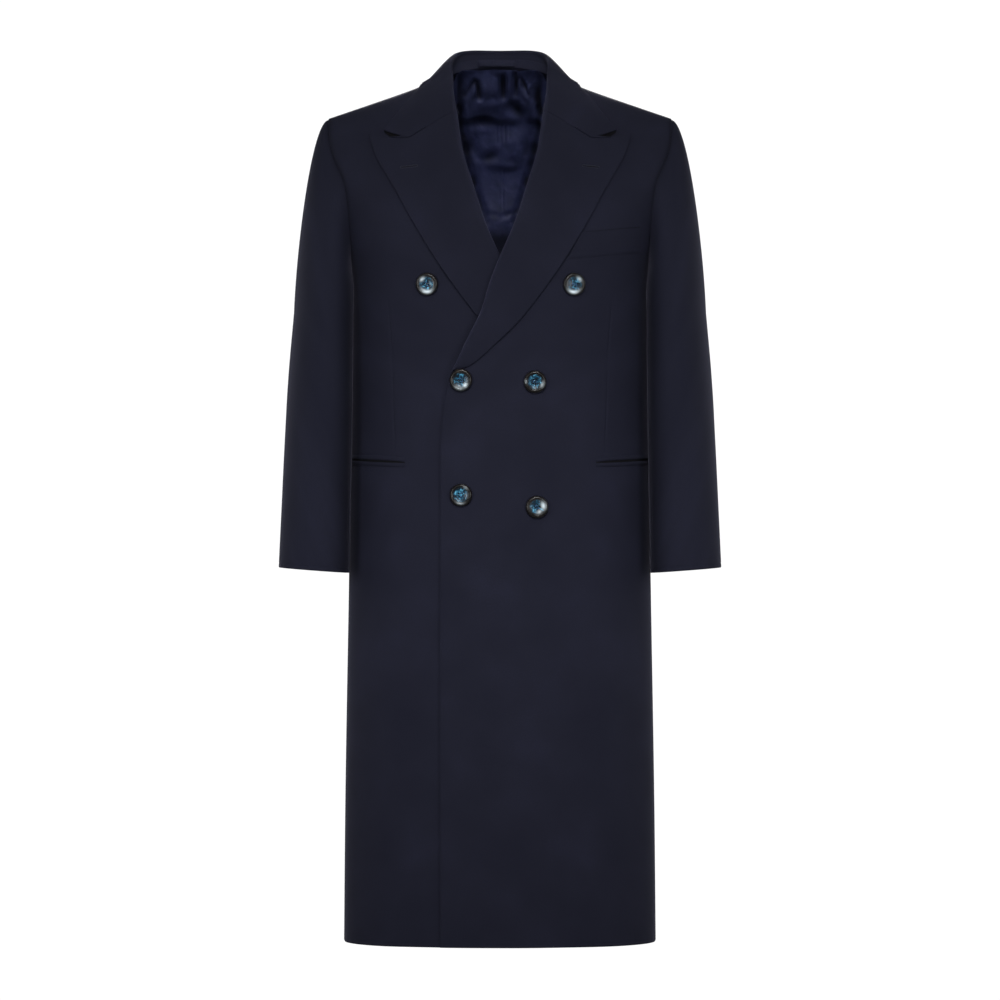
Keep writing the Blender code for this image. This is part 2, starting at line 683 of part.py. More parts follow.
def stand_grid(depth):
    half = [stand_row(seam_place, depth) for seam_place in neck_seam()]
    other_half = [[mirrored(point, RIGHT) for point in row] for row in half[:-1]]
    return other_half + half[::-1]


def make_collar_stand():
    return make_wall("collar_stand", stand_grid(0.0), stand_grid(CLOTH))


# Sleeves


def sleeve_ring_point(turn, height):
    """A point of the sleeve below the cap. A turn of 0 faces out, a quarter turn faces forward."""
    inner_x, outer_x = track(SLEEVE, height, "inner_x"), track(SLEEVE, height, "outer_x")
    front_y, back_y = track(SLEEVE, height, "front_y"), track(SLEEVE, height, "back_y")
    power = 2.0 / SLEEVE_SQUARENESS
    across = math.copysign(abs(math.cos(turn)) ** power, math.cos(turn))
    deep = math.copysign(abs(math.sin(turn)) ** power, math.sin(turn))
    from_centre = Vector((across * (outer_x - inner_x) / 2, deep * (front_y - back_y) / 2))
    x = from_centre.x * math.cos(SLEEVE_TURN) + from_centre.y * math.sin(SLEEVE_TURN)
    y = from_centre.y * math.cos(SLEEVE_TURN) - from_centre.x * math.sin(SLEEVE_TURN)
    tilt = CUFF_TILT * ease((SLEEVE[-1].height - height) / (SLEEVE[-1].height - SLEEVE[0].height))
    return Vector((x + (inner_x + outer_x) / 2, y + (front_y + back_y) / 2, height + tilt * x))


def sleeve_cap_point(turn, share):
    """A point between the armhole at share 0 and the first ring of the sleeve at share 1."""
    face = FRONT if math.sin(turn) > 0.0 else BACK
    fall = ARMPIT_FALL * abs(math.sin(turn / 2))
    start = body_point(armhole_angle(fall), fall, face) + Vector((SEAM_GAP, 0.0, 0.0))
    end = sleeve_ring_point(turn, SLEEVE[-1].height)
    below = (1.0 - math.cos(turn)) / 2
    span = (end - start).length
    outward = Vector((1.0, -CAP_FORWARD * math.sin(turn), -CAP_DOWN - CAP_UNDERARM_DOWN * below))
    leaving = outward.normalized() * CAP_LEAVING * span
    arriving = Vector((CAP_FLARE, 0.0, -1.0)) * CAP_ARRIVING * span
    t = share
    return (start * (1.0 + 2.0 * t) * (1.0 - t) ** 2 + end * t * t * (3.0 - 2.0 * t)
            + leaving * t * (1.0 - t) ** 2 + arriving * t * t * (t - 1.0))


def sleeve_point(turn, step):
    """step counts rows down the sleeve, from the armhole to the cuff."""
    if step <= CAP_STEPS:
        return sleeve_cap_point(turn, step / CAP_STEPS)
    height = mix(SLEEVE[-1].height, SLEEVE[0].height, (step - CAP_STEPS) / TUBE_STEPS)
    return sleeve_ring_point(turn, height)


def sleeve_normal(turn, step):
    small = 1e-2
    around = sleeve_point(turn + small, step) - sleeve_point(turn - small, step)
    above, below = max(step - small, 0.0), min(step + small, CAP_STEPS + TUBE_STEPS)
    down = sleeve_point(turn, below) - sleeve_point(turn, above)
    return around.cross(down).normalized()


def make_sleeve_piece(name, side, first, last):
    """The sleeve between two of its columns, with half a seam's gap along each."""
    outer, inner = [], []
    for step in range(CAP_STEPS + TUBE_STEPS + 1):
        outer.append([])
        inner.append([])
        for column in range(first, last + 1):
            turn = math.tau * column / SLEEVE_COLUMNS
            point, normal = sleeve_point(turn, step), sleeve_normal(turn, step)
            shift = Vector((0.0, 0.0, 0.0))
            if column in (first, last):
                towards = 1 if column == first else -1
                beside = sleeve_point(turn + towards * 0.05, step) - point
                shift = beside.normalized() * SLEEVE_SEAM_HALF_GAP
            outer[-1].append(mirrored(point + shift, side))
            inner[-1].append(mirrored(point + shift - normal * CLOTH, side))
    return make_wall(name, outer, inner)


def make_sleeve(side, side_name):
    make_sleeve_piece("top_sleeve_" + side_name, side, HINDARM_SEAM - SLEEVE_COLUMNS, FOREARM_SEAM)
    make_sleeve_piece("under_sleeve_" + side_name, side, FOREARM_SEAM, HINDARM_SEAM)


# What shows inside the neck


def lining_fold(z):
    return sum(fold.depth * math.exp(-(((z - fold.height) / fold.spread) ** 2))
               for fold in LINING_FOLDS)


def make_back_lining():
    outer, inner = [], []
    for row in range(LINING_ROWS + 1):
        outer.append([])
        inner.append([])
        for column in range(LINING_COLUMNS + 1):
            angle = mix(-LINING_ANGLE, LINING_ANGLE, column / LINING_COLUMNS)
            x = body_point(angle, LINING_LEAST_FALL, BACK).x
            top = max(neckline_fall(x) + LINING_TOP_MARGIN, LINING_LEAST_FALL)
            end = math.sqrt(ridge_height(x) - LINING_END)
            fall = mix(top, end, row / LINING_ROWS)
            point, normal = body_point(angle, fall, BACK), body_normal(angle, fall, BACK)
            from_edge = min(column, LINING_COLUMNS - column) / LINING_LOOSE_COLUMN
            loose = LINING_GAP + lining_fold(point.z)
            behind = CLOTH + mix(LINING_SEAT, loose, ease(from_edge))
            outer[-1].append(point - normal * behind)
            inner[-1].append(point - normal * (behind + LINING_CLOTH))
    return make_wall("back_lining", outer, inner, SATIN)


def stand_inner_y(x, z):
    """How far back the stand's inner face lies at this place near the centre back."""
    grid = stand_grid(CLOTH)
    middle = len(grid) // 2
    level = [mix(row[0], row[-1], (z - row[0].z) / (row[-1].z - row[0].z))
             for row in grid[middle - 2:middle + 3]]
    for start, end in zip(level, level[1:]):
        if start.x <= x <= end.x:
            return mix(start.y, end.y, (x - start.x) / (end.x - start.x))
    raise ValueError("the loop is longer than the back of the stand")


def make_hanger_loop():
    outer, inner = [], []
    for z in (LOOP_HEIGHT - LOOP_WIDTH / 2, LOOP_HEIGHT + LOOP_WIDTH / 2):
        outer.append([])
        inner.append([])
        for column in range(LOOP_COLUMNS + 1):
            share = column / LOOP_COLUMNS
            x = LOOP_CENTRE_X + LOOP_LENGTH * (share - 0.5)
            y = stand_inner_y(x, z) - LAY_GAP - LOOP_BOW * math.sin(math.pi * share)
            inner[-1].append(Vector((x, y, z)))
            outer[-1].append(Vector((x, y - TRIM_CLOTH, z)))
    return make_wall("hanger_loop", outer, inner)


for old in list(bpy.data.objects):
    bpy.data.objects.remove(old, do_unlink=True)
coat = bpy.data.collections.new("double_breasted_coat")
bpy.context.scene.collection.children.link(coat)

for side, side_name in ((LEFT, "left"), (RIGHT, "right")):
    make_panel("front_" + side_name, side, FRONT, front_places())
    make_panel("back_" + side_name, side, BACK, back_places())
    make_lapel("lapel_" + side_name, side)
    make_jets(side, side_name)
    make_sleeve(side, side_name)
make_chest_welt()
make_collar_leaf()
make_collar_stand()
make_back_lining()
make_hanger_loop()
for button in BUTTONS:
    make_button(button)
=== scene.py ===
"""Looks of a long double-breasted overcoat with peaked lapels, hollow and filled out as it is worn.

Metres, +Z up. The front faces -Y and the wearer's left is +X. Each cloth piece is a thin shell on
the form of its solid, with seams, darts, rolled folds and soft creases.
"""

import math
from collections import namedtuple

import bpy
import numpy as np
from mathutils import Matrix, Vector


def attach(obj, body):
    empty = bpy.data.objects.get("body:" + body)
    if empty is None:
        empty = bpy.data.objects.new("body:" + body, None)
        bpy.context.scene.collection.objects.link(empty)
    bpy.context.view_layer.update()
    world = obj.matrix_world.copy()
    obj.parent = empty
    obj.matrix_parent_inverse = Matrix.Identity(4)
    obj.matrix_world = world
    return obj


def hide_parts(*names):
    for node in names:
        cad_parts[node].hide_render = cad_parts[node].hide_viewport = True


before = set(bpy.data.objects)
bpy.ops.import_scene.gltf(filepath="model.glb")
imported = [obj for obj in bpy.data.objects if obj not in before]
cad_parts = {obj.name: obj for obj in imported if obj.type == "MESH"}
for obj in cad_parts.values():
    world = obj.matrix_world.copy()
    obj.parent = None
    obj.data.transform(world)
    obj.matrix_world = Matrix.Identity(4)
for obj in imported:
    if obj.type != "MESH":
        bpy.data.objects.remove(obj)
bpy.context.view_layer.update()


def rows_of(kind, rows):
    return tuple(kind(*row) for row in rows)


FRONT, BACK = -1, 1
LEFT, RIGHT = 1, -1
SIDES = ((LEFT, "left"), (RIGHT, "right"))

# Cloth and the gaps between its layers
CLOTH = 0.0025            # wool cloth with its canvas
FOLDED_CLOTH = 0.0016     # lapels and collar, pressed
LINING_CLOTH = 0.0010
TRIM_CLOTH = 0.0015       # welt and hanger loop
SEAM_GAP = -0.0001        # below 0, as sewn edges are pressed into each other
BUTTON_SEAT = 0.0003
LAY_GAP = 0.0008
COLLAR_GAP = 0.0003       # between the collar's leaf and what it lies on
LINING_SEAT = 0.0011
LINING_GAP = 0.0032
EDGE_ROUND, EDGE_ROUND_SHARE = 0.0006, 0.3   # how far an edge turns down, at most this share of its cloth
SHARP_TURN = math.radians(58.0)
THREAD_LIFT = 0.0001      # least height of what lies on the cloth
BACKING_LIFT, BACKING_CLOTH = 0.0003, 0.0004   # near-black cotton in the slits of pockets and buttonholes, which paints their shade
TURNING_CLOTH = 0.0005    # felt in the notch, which paints its shade, and turning of the gorge seam

# Shoulders and neck
SHOULDER_HALF = 0.232
SHOULDER_HEIGHT = 0.007
SHOULDER_SLOPE = 0.358
RIDGE_ROUNDING = 0.030
NECK_RISE = 0.030
NECK_SPREAD = 0.060
NECK_SHIFT = 0.022
NECK_SHIFT_FADE = 0.100
NECK_HALF = 0.075
BACK_NECK_HEIGHT, BACK_NECK_SHAPE = 0.084, 2.0
CHEST_REACH, CHEST_POWER = 0.280, 1.6
BLADE_REACH, BLADE_POWER = 0.210, 1.8

# Hem, armhole and front edge
HEM_HEIGHT = -1.103
ARMPIT_HEIGHT = -0.215
ARMHOLE_ANGLE = math.radians(62.0)
ARMHOLE_CURL = 8.0
ARMHOLE_HOLLOW, ARMHOLE_HOLLOW_SHARE, ARMHOLE_HOLLOW_SPREAD = math.radians(3.8), 0.65, 0.12
ARMHOLE_TUCK, ARMPIT_TUCK = 0.0005, 0.0026   # how far the sleeve's edge lies under the armhole's
OVERLAP = 0.0795
OVERLAP_DROP = 0.0036
LAPEL_DROP = 0.0072
OVERLAP_DROP_TOP = -0.330
LAPEL_DROP_TOP, LAPEL_DROP_END = -0.060, -0.430
DROP_FADE = 0.100
OVERLAP_EASE = (0.085, 0.160)
NECK_COLUMN_SHARE = 5 / 11           # the back's column that meets the neck point
SETTLE_STEPS = 12

BodySection = namedtuple("BodySection",
                         "height half_width centre_y front_depth back_depth squareness")
BODY = rows_of(BodySection, (
    (-1.110, 0.2106, 0.006, 0.124, 0.120, 2.30),
    (-0.900, 0.2085, 0.008, 0.125, 0.116, 2.30),
    (-0.640, 0.2045, 0.012, 0.129, 0.110, 2.35),
    (-0.480, 0.2020, 0.012, 0.130, 0.105, 2.40),
    (-0.360, 0.2000, 0.012, 0.132, 0.096, 2.50),
    (-0.260, 0.2000, 0.010, 0.136, 0.104, 2.70),
    (-0.215, 0.2005, 0.006, 0.135, 0.112, 2.80),
    (-0.190, 0.2040, 0.004, 0.134, 0.116, 2.85),
    (-0.158, 0.2125, 0.002, 0.132, 0.119, 2.90),
    (-0.124, 0.2250, 0.000, 0.130, 0.122, 2.90),
    (-0.085, 0.2430, 0.000, 0.130, 0.122, 2.90),
    (-0.046, 0.2555, 0.000, 0.130, 0.122, 2.90),
    (0.005, 0.2620, 0.000, 0.130, 0.122, 2.90),
    (0.110, 0.2680, 0.000, 0.130, 0.122, 2.90),
))

EdgePoint = namedtuple("EdgePoint", "height reach")
FRONT_EDGE = rows_of(EdgePoint, (
    (-1.1100, -OVERLAP),
    (-0.4800, -OVERLAP),
    (-0.4180, -0.0782),
    (-0.3555, -0.0703),
    (-0.3290, -0.0597),
    (-0.2866, -0.0398),
    (-0.2176, -0.0133),
    (-0.1836, 0.0000),
    (-0.1362, 0.0206),
    (-0.0335, 0.0520),
    (0.0110, 0.0575),
    (0.0660, NECK_HALF),
))
ROLL_BACK = 0.0054                   # the front ends this far inside the lapel's roll
ROLL_BACK_START, ROLL_BACK_FULL = -0.340, -0.300

# Lapel, row by row from where it breaks open: its roll line, and its free edge
LapelRow = namedtuple("LapelRow", "step roll_x roll_z edge_x edge_z")
LAPEL = rows_of(LapelRow, (
    (-0.6, -0.0640, -0.3375, -0.0620, -0.3356),
    (0, -0.0560, -0.3205, -0.0398, -0.3291),
    (1, -0.0420, -0.2905, -0.0066, -0.3012),
    (2, -0.0252, -0.2561, 0.0260, -0.2694),
    (3, -0.0133, -0.2176, 0.0583, -0.2283),
    (4, 0.0000, -0.1836, 0.0882, -0.1850),
    (5, 0.0206, -0.1362, 0.1170, -0.1362),
    (6, 0.0370, -0.0837, 0.1410, -0.0917),
    (7, 0.0500, -0.0400, 0.1649, -0.0501),
    (8, 0.0575, 0.0110, 0.1747, -0.0192),
))
NOTCH_X, NOTCH_Z = 0.1198, -0.0264
LAPEL_NOTCH_SHARE, COLLAR_NOTCH_SHARE = 4 / 7, 5 / 7
LAPEL_TOP_RISE = -0.0024
LAPEL_ROLL, LAPEL_ROLL_SHAPE = 0.0030, 0.55
UNDER_LAPEL_END, UNDER_LAPEL_FADE = -0.200, 0.060
NOTCH_EASE = 1.5
LAPEL_FOLD, LAPEL_FOLD_SHARE = 0.0060, 0.30   # radius of the rolled edge, at most this share of the width
FACING = 0.008                       # how far the cloth runs on behind the front
ROLL_TURNS = np.linspace(math.pi, 0.0, 13)[:-1]

CollarStation = namedtuple("CollarStation", "step fold_x fold_y fold_z edge_x edge_fall")
COLLAR = rows_of(CollarStation, (
    (0, 0.0575, -0.066, 0.0115, 0.1550, -0.2195),
    (1, 0.0615, -0.030, 0.0520, 0.1325, -0.1560),
    (2, 0.0645, 0.008, 0.0840, 0.1065, -0.0300),
    (3, 0.0605, 0.044, 0.0985, 0.0940, 0.1090),
    (4, 0.0430, 0.064, 0.1052, 0.0650, 0.1820),
    (5, 0.0000, 0.077, 0.1062, 0.0000, 0.2640),
    (6, -0.0430, 0.064, 0.1052, -0.0650, 0.1820),
))
NECK_STEP, CENTRE_BACK_STEP = 2, 5
COLLAR_END_RISE = -0.0007
COLLAR_ROLL, COLLAR_ROLL_SHAPE = 0.0035, 0.55
COLLAR_FOLD = 0.0034                 # radius of the fold over the stand
COLLAR_EDGE_SHARE, COLLAR_EDGE_THICK = 0.78, 0.40   # from here out the leaf is pressed thinner
GORGE_GAP, GORGE_BLEND = 0.0001, 0.9
# Reach, lift and hidden part of the black felt that paints the shade in the notch
NOTCH_FELT, FELT_LIFT, FELT_HIDDEN = 0.0058, 0.0012, 0.0040
GORGE_DEPTH, GORGE_TURNING = 0.0003, 0.0020
STAND_SHARE, STAND_HIDDEN = 0.60, 0.03   # the stand's part of the way up to the fold, and what it runs on
STAND_CLOTH, STAND_INSET = CLOTH * 0.5, 0.0005

SleeveSection = namedtuple("SleeveSection", "height inner_x outer_x front_y back_y")
SLEEVE = rows_of(SleeveSection, (
    (-0.602, 0.2030, 0.2968, -0.0955, 0.0215),
    (-0.520, 0.2022, 0.2931, -0.0965, 0.0375),
    (-0.430, 0.2011, 0.2889, -0.0975, 0.0545),
    (-0.340, 0.2005, 0.2838, -0.0985, 0.0655),
    (-0.255, 0.2004, 0.2763, -0.0980, 0.0680),
))
SLEEVE_SQUARENESS = 2.3
SLEEVE_TURN = math.radians(8.0)
CUFF_TILT = 0.075
CAP_LEAVING, CAP_ARRIVING = 0.27, 1.16
CAP_FORWARD, CAP_DOWN, CAP_UNDERARM_DOWN, CAP_FLARE = 0.25, 0.20, 0.90, 0.04
CAP_UNDERARM_TUCK = 0.95             # it drops straight down from the armpit
FOREARM_SEAM, HINDARM_SEAM = math.tau * 8 / 20, math.tau * 14 / 20
SLEEVE_SEAM_TURN = -0.001            # below 0, as the sleeve's own seams overlap too
SLEEVE_RADIUS = 0.050                # lays a turn out as a length across the sleeve
SLEEVE_LEAN, SLEEVE_LEAN_TURN, SLEEVE_LEAN_SPREAD = 0.0022, 2.50, 0.46   # it presses on the body
LEAN_START, LEAN_FADE = 0.030, 0.040   # from this far above the armpit
ARMHOLE_SINK, ARMHOLE_SINK_WIDTH = 0.0009, 0.0045   # the seam's trough on the sleeve
CUFF_PRESS_HEIGHT, CUFF_PRESS_DEPTH, CUFF_PRESS_WIDTH = 0.0058, 0.0003, 0.0011
CUFF_ROWS = 0.014                    # height of the finer rows at the cuff

# Pockets, darts and buttonholes
WELT_OUTER_X = 0.1870
WELT_LOWER_Z, WELT_LOWER_X = -0.1865, 0.1088
WELT_SLOPE, WELT_HEIGHT, WELT_MOUTH, WELT_HIDDEN = 0.108, 0.034, 0.0007, 0.0010
JET_INNER_X, JET_MOUTH_Z, JET_SLOPE = 0.1275, -0.4580, 0.055
JET_OUTER_ANGLE = math.radians(84.0)
JET_HEIGHT, JET_MOUTH, JET_LIFT, JET_WALL = 0.0058, 0.0021, 0.0015, 0.0007
SLIT_WIDTH, SLIT_DEPTH, SLIT_FADE = 0.0016, 0.0016, 0.006   # the front's own dent in a pocket's mouth
POCKET_ROWS = (-0.474, -0.444)       # heights of the finer rows about a pocket
DartPoint = namedtuple("DartPoint", "height x")
DART = rows_of(DartPoint, (
    (-0.4340, 0.1400),
    (-0.3920, 0.1420),
    (-0.3180, 0.1440),
    (-0.2480, 0.1488),
))
DART_DEPTH, DART_WIDTH, DART_FADE = 0.0007, 0.0011, 0.030
HOLE_START_X, HOLE_END_X, HOLE_Z, HOLE_SLOPE = 0.1105, 0.1315, -0.0628, -0.09
HOLE_HALF, HOLE_SLIT = 0.0013, 0.0005   # from a buttonhole's middle to its stitches, and to its slit's edge

# A painted glint on a button's horn, drawn as a pale streak: its turn from the right, and its reach from the
# middle
Streak = namedtuple("Streak", "turn reach length width strength")
Button = namedtuple("Button", "name side x z lean_x lean_z turn streaks")
BUTTONS = (
    Button("button_top_right", RIGHT, -0.0981, -0.2216, 2.0, 2.0, 20.0,
           (Streak(-92.0, 0.0102, 0.0066, 0.0022, 1.0), Streak(136.0, 0.0092, 0.0034, 0.0022, 0.7))),
    Button("button_top_left", LEFT, 0.0981, -0.2216, -2.0, 2.0, 62.0,
           (Streak(-96.0, 0.0106, 0.0066, 0.0022, 0.9), Streak(44.0, 0.0098, 0.0036, 0.0022, 0.6))),
    Button("button_middle_right", LEFT, -0.0517, -0.3489, 0.0, 3.0, 35.0,
           (Streak(-50.0, 0.0086, 0.0030, 0.0024, 0.9), Streak(-105.0, 0.0112, 0.0060, 0.0022, 0.3))),
    Button("button_middle_left", LEFT, 0.0464, -0.3510, -5.0, 2.0, 80.0,
           (Streak(-24.0, 0.0106, 0.0036, 0.0022, 0.4), Streak(180.0, 0.0122, 0.0022, 0.0014, 0.3))),
    Button("button_bottom_right", LEFT, -0.0517, -0.5014, 0.0, 2.0, 8.0,
           (Streak(-96.0, 0.0114, 0.0050, 0.0014, 0.3), Streak(58.0, 0.0114, 0.0030, 0.0014, 0.25))),
    Button("button_bottom_left", LEFT, 0.0490, -0.5173, -3.0, 2.0, 48.0,
           (Streak(12.0, 0.0086, 0.0046, 0.0030, 0.8), Streak(-60.0, 0.0066, 0.0030, 0.0024, 0.4))),
)
BUTTON_RADIUS, BUTTON_THICK = 0.0150, 0.0046
BUTTON_CREST = 0.0118                # radius of the rim's crest
BUTTON_BOWL, BUTTON_RIM, BUTTON_STEP = 0.0027, 0.0018, 0.0003   # heights of middle, edge and step
BUTTON_FINE = 0.0054                 # radius of the finer rings about the holes
BUTTON_UNDER = ((0.0142, 0.0006), (0.0128, 0.0), (0.0060, 0.0))   # radii and heights of the under side
DISH_RADIUS, DISH_FADE = 0.0076, 0.0030   # the veined middle
HOLE_RADIUS, HOLE_SPACING, HOLE_DEPTH = 0.0011, 0.0022, 0.0018
STRANDS, STRAND_RADIUS = (-0.00036, 0.0, 0.00036), 0.00021   # places across a bundle of thread
STRAND_RISE, STRAND_DIP = 0.0007, 0.0012   # how it bows up between two holes, and dips into them

# Back lining and hanger loop
LINING_ANGLE = math.radians(55.0)
LINING_END, LINING_TOP_MARGIN, LINING_LEAST_FALL = -0.340, 0.004, 0.098
LINING_TOP, LINING_NECK_FALL = 0.0805, 0.030   # it is felled level to the stand
LINING_LOOSE_SHARE = 3 / 16
LOOP_CENTRE_X, LOOP_LENGTH, LOOP_WIDTH, LOOP_HEIGHT = -0.0045, 0.050, 0.008, 0.0870
LOOP_BOW, LOOP_TILT, LOOP_ROUND, LOOP_CLOTH = 0.0075, 0.0030, 0.0004, TRIM_CLOTH * 0.7

# Shares by which the wool's colour is painted paler or darker: painted highlight along rolls, painted shade
# in seams and where parts meet, and painted light on the loop and stand
ROLL_PAINTED_HIGHLIGHT = 1.45
SEAM_PAINTED_SHADE, SEAM_PAINTED_SHADE_WIDTH = 0.36, 0.0040
LEAN_PAINTED_SHADE = 0.45                     # painted shade where a sleeve presses on the body
LOOP_PAINTED_LIGHT, STAND_PAINTED_LIGHT = 0.40, 0.25

# Creases, each a line across the cloth. A depth above 0 is a trough and below 0 a ridge
Crease = namedtuple("Crease", "start_x start_z end_x end_z width depth")
CREASE_LIP, CREASE_LIP_AWAY = 0.35, 1.7   # the cloth stands up beside it: share of its depth, and widths away
CREASE_END = 0.45                    # share of its depth at its ends
FRONT_CREASES = {
    "left": rows_of(Crease, (
        (0.066, -0.360, 0.128, -0.392, 0.013, 0.0007),
        (0.070, -0.528, 0.122, -0.566, 0.018, 0.0006),
        (-0.030, -0.512, 0.026, -0.516, 0.012, 0.0005),
        (0.152, -1.100, 0.146, -0.640, 0.036, -0.0022),
        (0.092, -1.100, 0.084, -0.760, 0.030, 0.0016),
        (0.020, -1.100, 0.014, -0.820, 0.030, -0.0010),
    )),
    "right": rows_of(Crease, (
        (0.118, -0.345, 0.160, -0.372, 0.013, 0.0007),
        (0.104, -0.545, 0.150, -0.580, 0.018, 0.0006),
        (0.160, -1.100, 0.150, -0.700, 0.034, -0.0020),
        (0.112, -1.100, 0.106, -0.800, 0.028, 0.0013),
    )),
}
BACK_CREASES = {
    "left": rows_of(Crease, (
        (0.052, -1.100, 0.060, -0.420, 0.034, 0.0034),
        (0.118, -1.100, 0.112, -0.560, 0.036, -0.0038),
        (0.168, -1.100, 0.160, -0.700, 0.026, 0.0020),
        (0.150, -0.090, 0.166, -0.270, 0.016, 0.0016),
        (0.030, -0.345, 0.120, -0.322, 0.014, 0.0012),
        (0.060, -0.385, 0.150, -0.372, 0.016, 0.0009),
    )),
    "right": rows_of(Crease, (
        (0.040, -1.100, 0.050, -0.520, 0.030, 0.0028),
        (0.100, -1.100, 0.094, -0.500, 0.038, -0.0040),
        (0.160, -1.100, 0.156, -0.640, 0.030, 0.0026),
        (0.154, -0.100, 0.168, -0.250, 0.018, 0.0018),
        (0.050, -0.338, 0.132, -0.330, 0.013, 0.0010),
        (0.020, -0.372, 0.104, -0.390, 0.017, 0.0011),
    )),
}
# On a sleeve, x is the length round it from the outside towards the front
SLEEVE_CREASES = {
    "left": rows_of(Crease, (
        (0.052, -0.352, 0.088, -0.366, 0.014, 0.0005),
        (-0.110, -0.330, -0.060, -0.352, 0.013, 0.0020),
        (-0.104, -0.400, -0.052, -0.382, 0.015, 0.0016),
        (-0.080, -0.250, -0.070, -0.330, 0.016, -0.0014),
        (-0.074, -0.110, -0.060, -0.200, 0.015, 0.0014),
    )),
    "right": rows_of(Crease, (
        (0.056, -0.340, 0.086, -0.360, 0.014, 0.0005),
        (-0.112, -0.352, -0.056, -0.364, 0.014, 0.0019),
        (-0.100, -0.296, -0.060, -0.318, 0.013, 0.0015),
        (-0.086, -0.420, -0.064, -0.520, 0.018, -0.0012),
        (-0.078, -0.120, -0.064, -0.210, 0.014, 0.0015),
    )),
}
LINING_CREASES = rows_of(Crease, (
    (-0.0345, 0.0655, -0.0325, 0.0480, 0.0042, 0.0052),
    (-0.0392, 0.0680, -0.0510, 0.0500, 0.0036, 0.0036),
    (-0.0170, 0.0740, -0.0165, 0.0560, 0.0070, -0.0018),
    (0.0045, 0.0725, 0.0050, 0.0485, 0.0050, 0.0052),
    (0.0140, 0.0760, 0.0140, 0.0560, 0.0050, -0.0016),
    (0.0235, 0.0765, 0.0240, 0.0505, 0.0038, 0.0046),
    (0.0305, 0.0706, 0.0430, 0.0510, 0.0036, 0.0038),
    (0.0445, 0.0605, 0.0400, 0.0480, 0.0042, -0.0018),
    (0.0520, 0.0560, 0.0560, 0.0340, 0.0060, 0.0030),
    (-0.0380, 0.0345, -0.0050, 0.0350, 0.0075, -0.0020),
    (0.0190, 0.0330, 0.0310, 0.0230, 0.0080, 0.0040),
    (-0.0480, -0.0050, -0.0030, 0.0070, 0.0060, -0.0012),
    (-0.0450, -0.0100, -0.0380, -0.0360, 0.0080, 0.0042),
    (-0.0230, -0.0400, -0.0080, -0.0340, 0.0070, 0.0036),
    (0.0430, -0.0120, 0.0360, -0.0380, 0.0076, 0.0038),
    (0.0140, -0.0420, 0.0320, -0.0460, 0.0060, 0.0020),
    (-0.0023, 0.0060, -0.0020, -0.0140, 0.0014, -0.0008),
    (0.0018, 0.0070, 0.0020, -0.0160, 0.0014, 0.0009),
    (0.0072, 0.0060, 0.0075, -0.0140, 0.0014, 0.0008),
    (0.0113, 0.0040, 0.0113, -0.0120, 0.0014, -0.0006),
    (0.0045, -0.0540, 0.0045, -0.1080, 0.0015, 0.0009),
    (0.0030, -0.0690, 0.0060, -0.0740, 0.0038, 0.0014),
    (0.0230, -0.1104, 0.0018, -0.1210, 0.0036, 0.0018),
    (-0.0174, -0.1156, -0.0037, -0.1183, 0.0034, 0.0012),
    (0.0300, -0.1740, -0.0300, -0.1740, 0.0420, 0.0062),
    (-0.0580, 0.0700, -0.0585, 0.0260, 0.0052, 0.0040),
    (-0.0585, 0.0300, -0.0500, -0.0270, 0.0056, 0.0044),
    (-0.0505, -0.0230, -0.0370, -0.0720, 0.0052, 0.0040),
    (-0.0375, -0.0680, -0.0200, -0.1260, 0.0056, 0.0036),
    (0.0580, 0.0700, 0.0585, 0.0260, 0.0052, 0.0036),
    (0.0585, 0.0300, 0.0500, -0.0270, 0.0050, 0.0036),
    (0.0505, -0.0230, 0.0370, -0.0720, 0.0056, 0.0044),
    (0.0375, -0.0680, 0.0200, -0.1260, 0.0050, 0.0034),
    (-0.0900, -0.1100, -0.0400, -0.2100, 0.0140, 0.0026),
    (0.1000, -0.1300, 0.0500, -0.2600, 0.0160, 0.0028),
))
# Where the lining hangs in billows, each swelling down to a ledge
Billow = namedtuple("Billow", "top ledge depth slant")
BILLOWS = rows_of(Billow, (
    (0.078, 0.0200, 0.0080, 0.05),
    (0.010, -0.0440, 0.0064, -0.02),
    (-0.090, -0.2200, 0.0050, 0.06),
))
LEDGE = 0.0130                       # height over which a billow falls back
LEDGE_WAVE, LEDGE_WAVE_LENGTH, LEDGE_WAVE_PHASE = 0.0030, 0.0105, 90.0   # a ledge wanders up and down
UNEVEN, UNEVEN_LENGTH, UNEVEN_PHASE = 0.34, 0.0145, 40.0   # a billow is fuller in places
FULL_FOLD, FOLD_PAINTED_SHADE = 0.0044, 0.88   # depth of a fold at which its painted shade is full, and how dark that painted shade gets


def mix(start, end, share):
    return start + (end - start) * share


def ease(share):
    share = np.clip(share, 0.0, 1.0)
    return share * share * (3.0 - 2.0 * share)


def spread(count, *dense):
    """Even places from 0 to 1, with more of them in each dense (start, end, count)."""
    places = [place for place in np.linspace(0.0, 1.0, count + 1)
              if not any(start < place < end for start, end, _ in dense)]
    for start, end, extra in dense:
        places.extend(np.linspace(start, end, extra + 1))
    return np.unique(np.round(places, 7))


def points_of(*columns):
    return np.stack(np.broadcast_arrays(*columns), axis=-1).astype(float)


def hermite(start, end, leaving, arriving, t):
    """A smooth way from start to end, with these slopes at its two ends."""
    return (start * (1.0 + 2.0 * t) * (1.0 - t) ** 2 + end * t * t * (3.0 - 2.0 * t)
            + leaving * t * (1.0 - t) ** 2 + arriving * t * t * (t - 1.0))


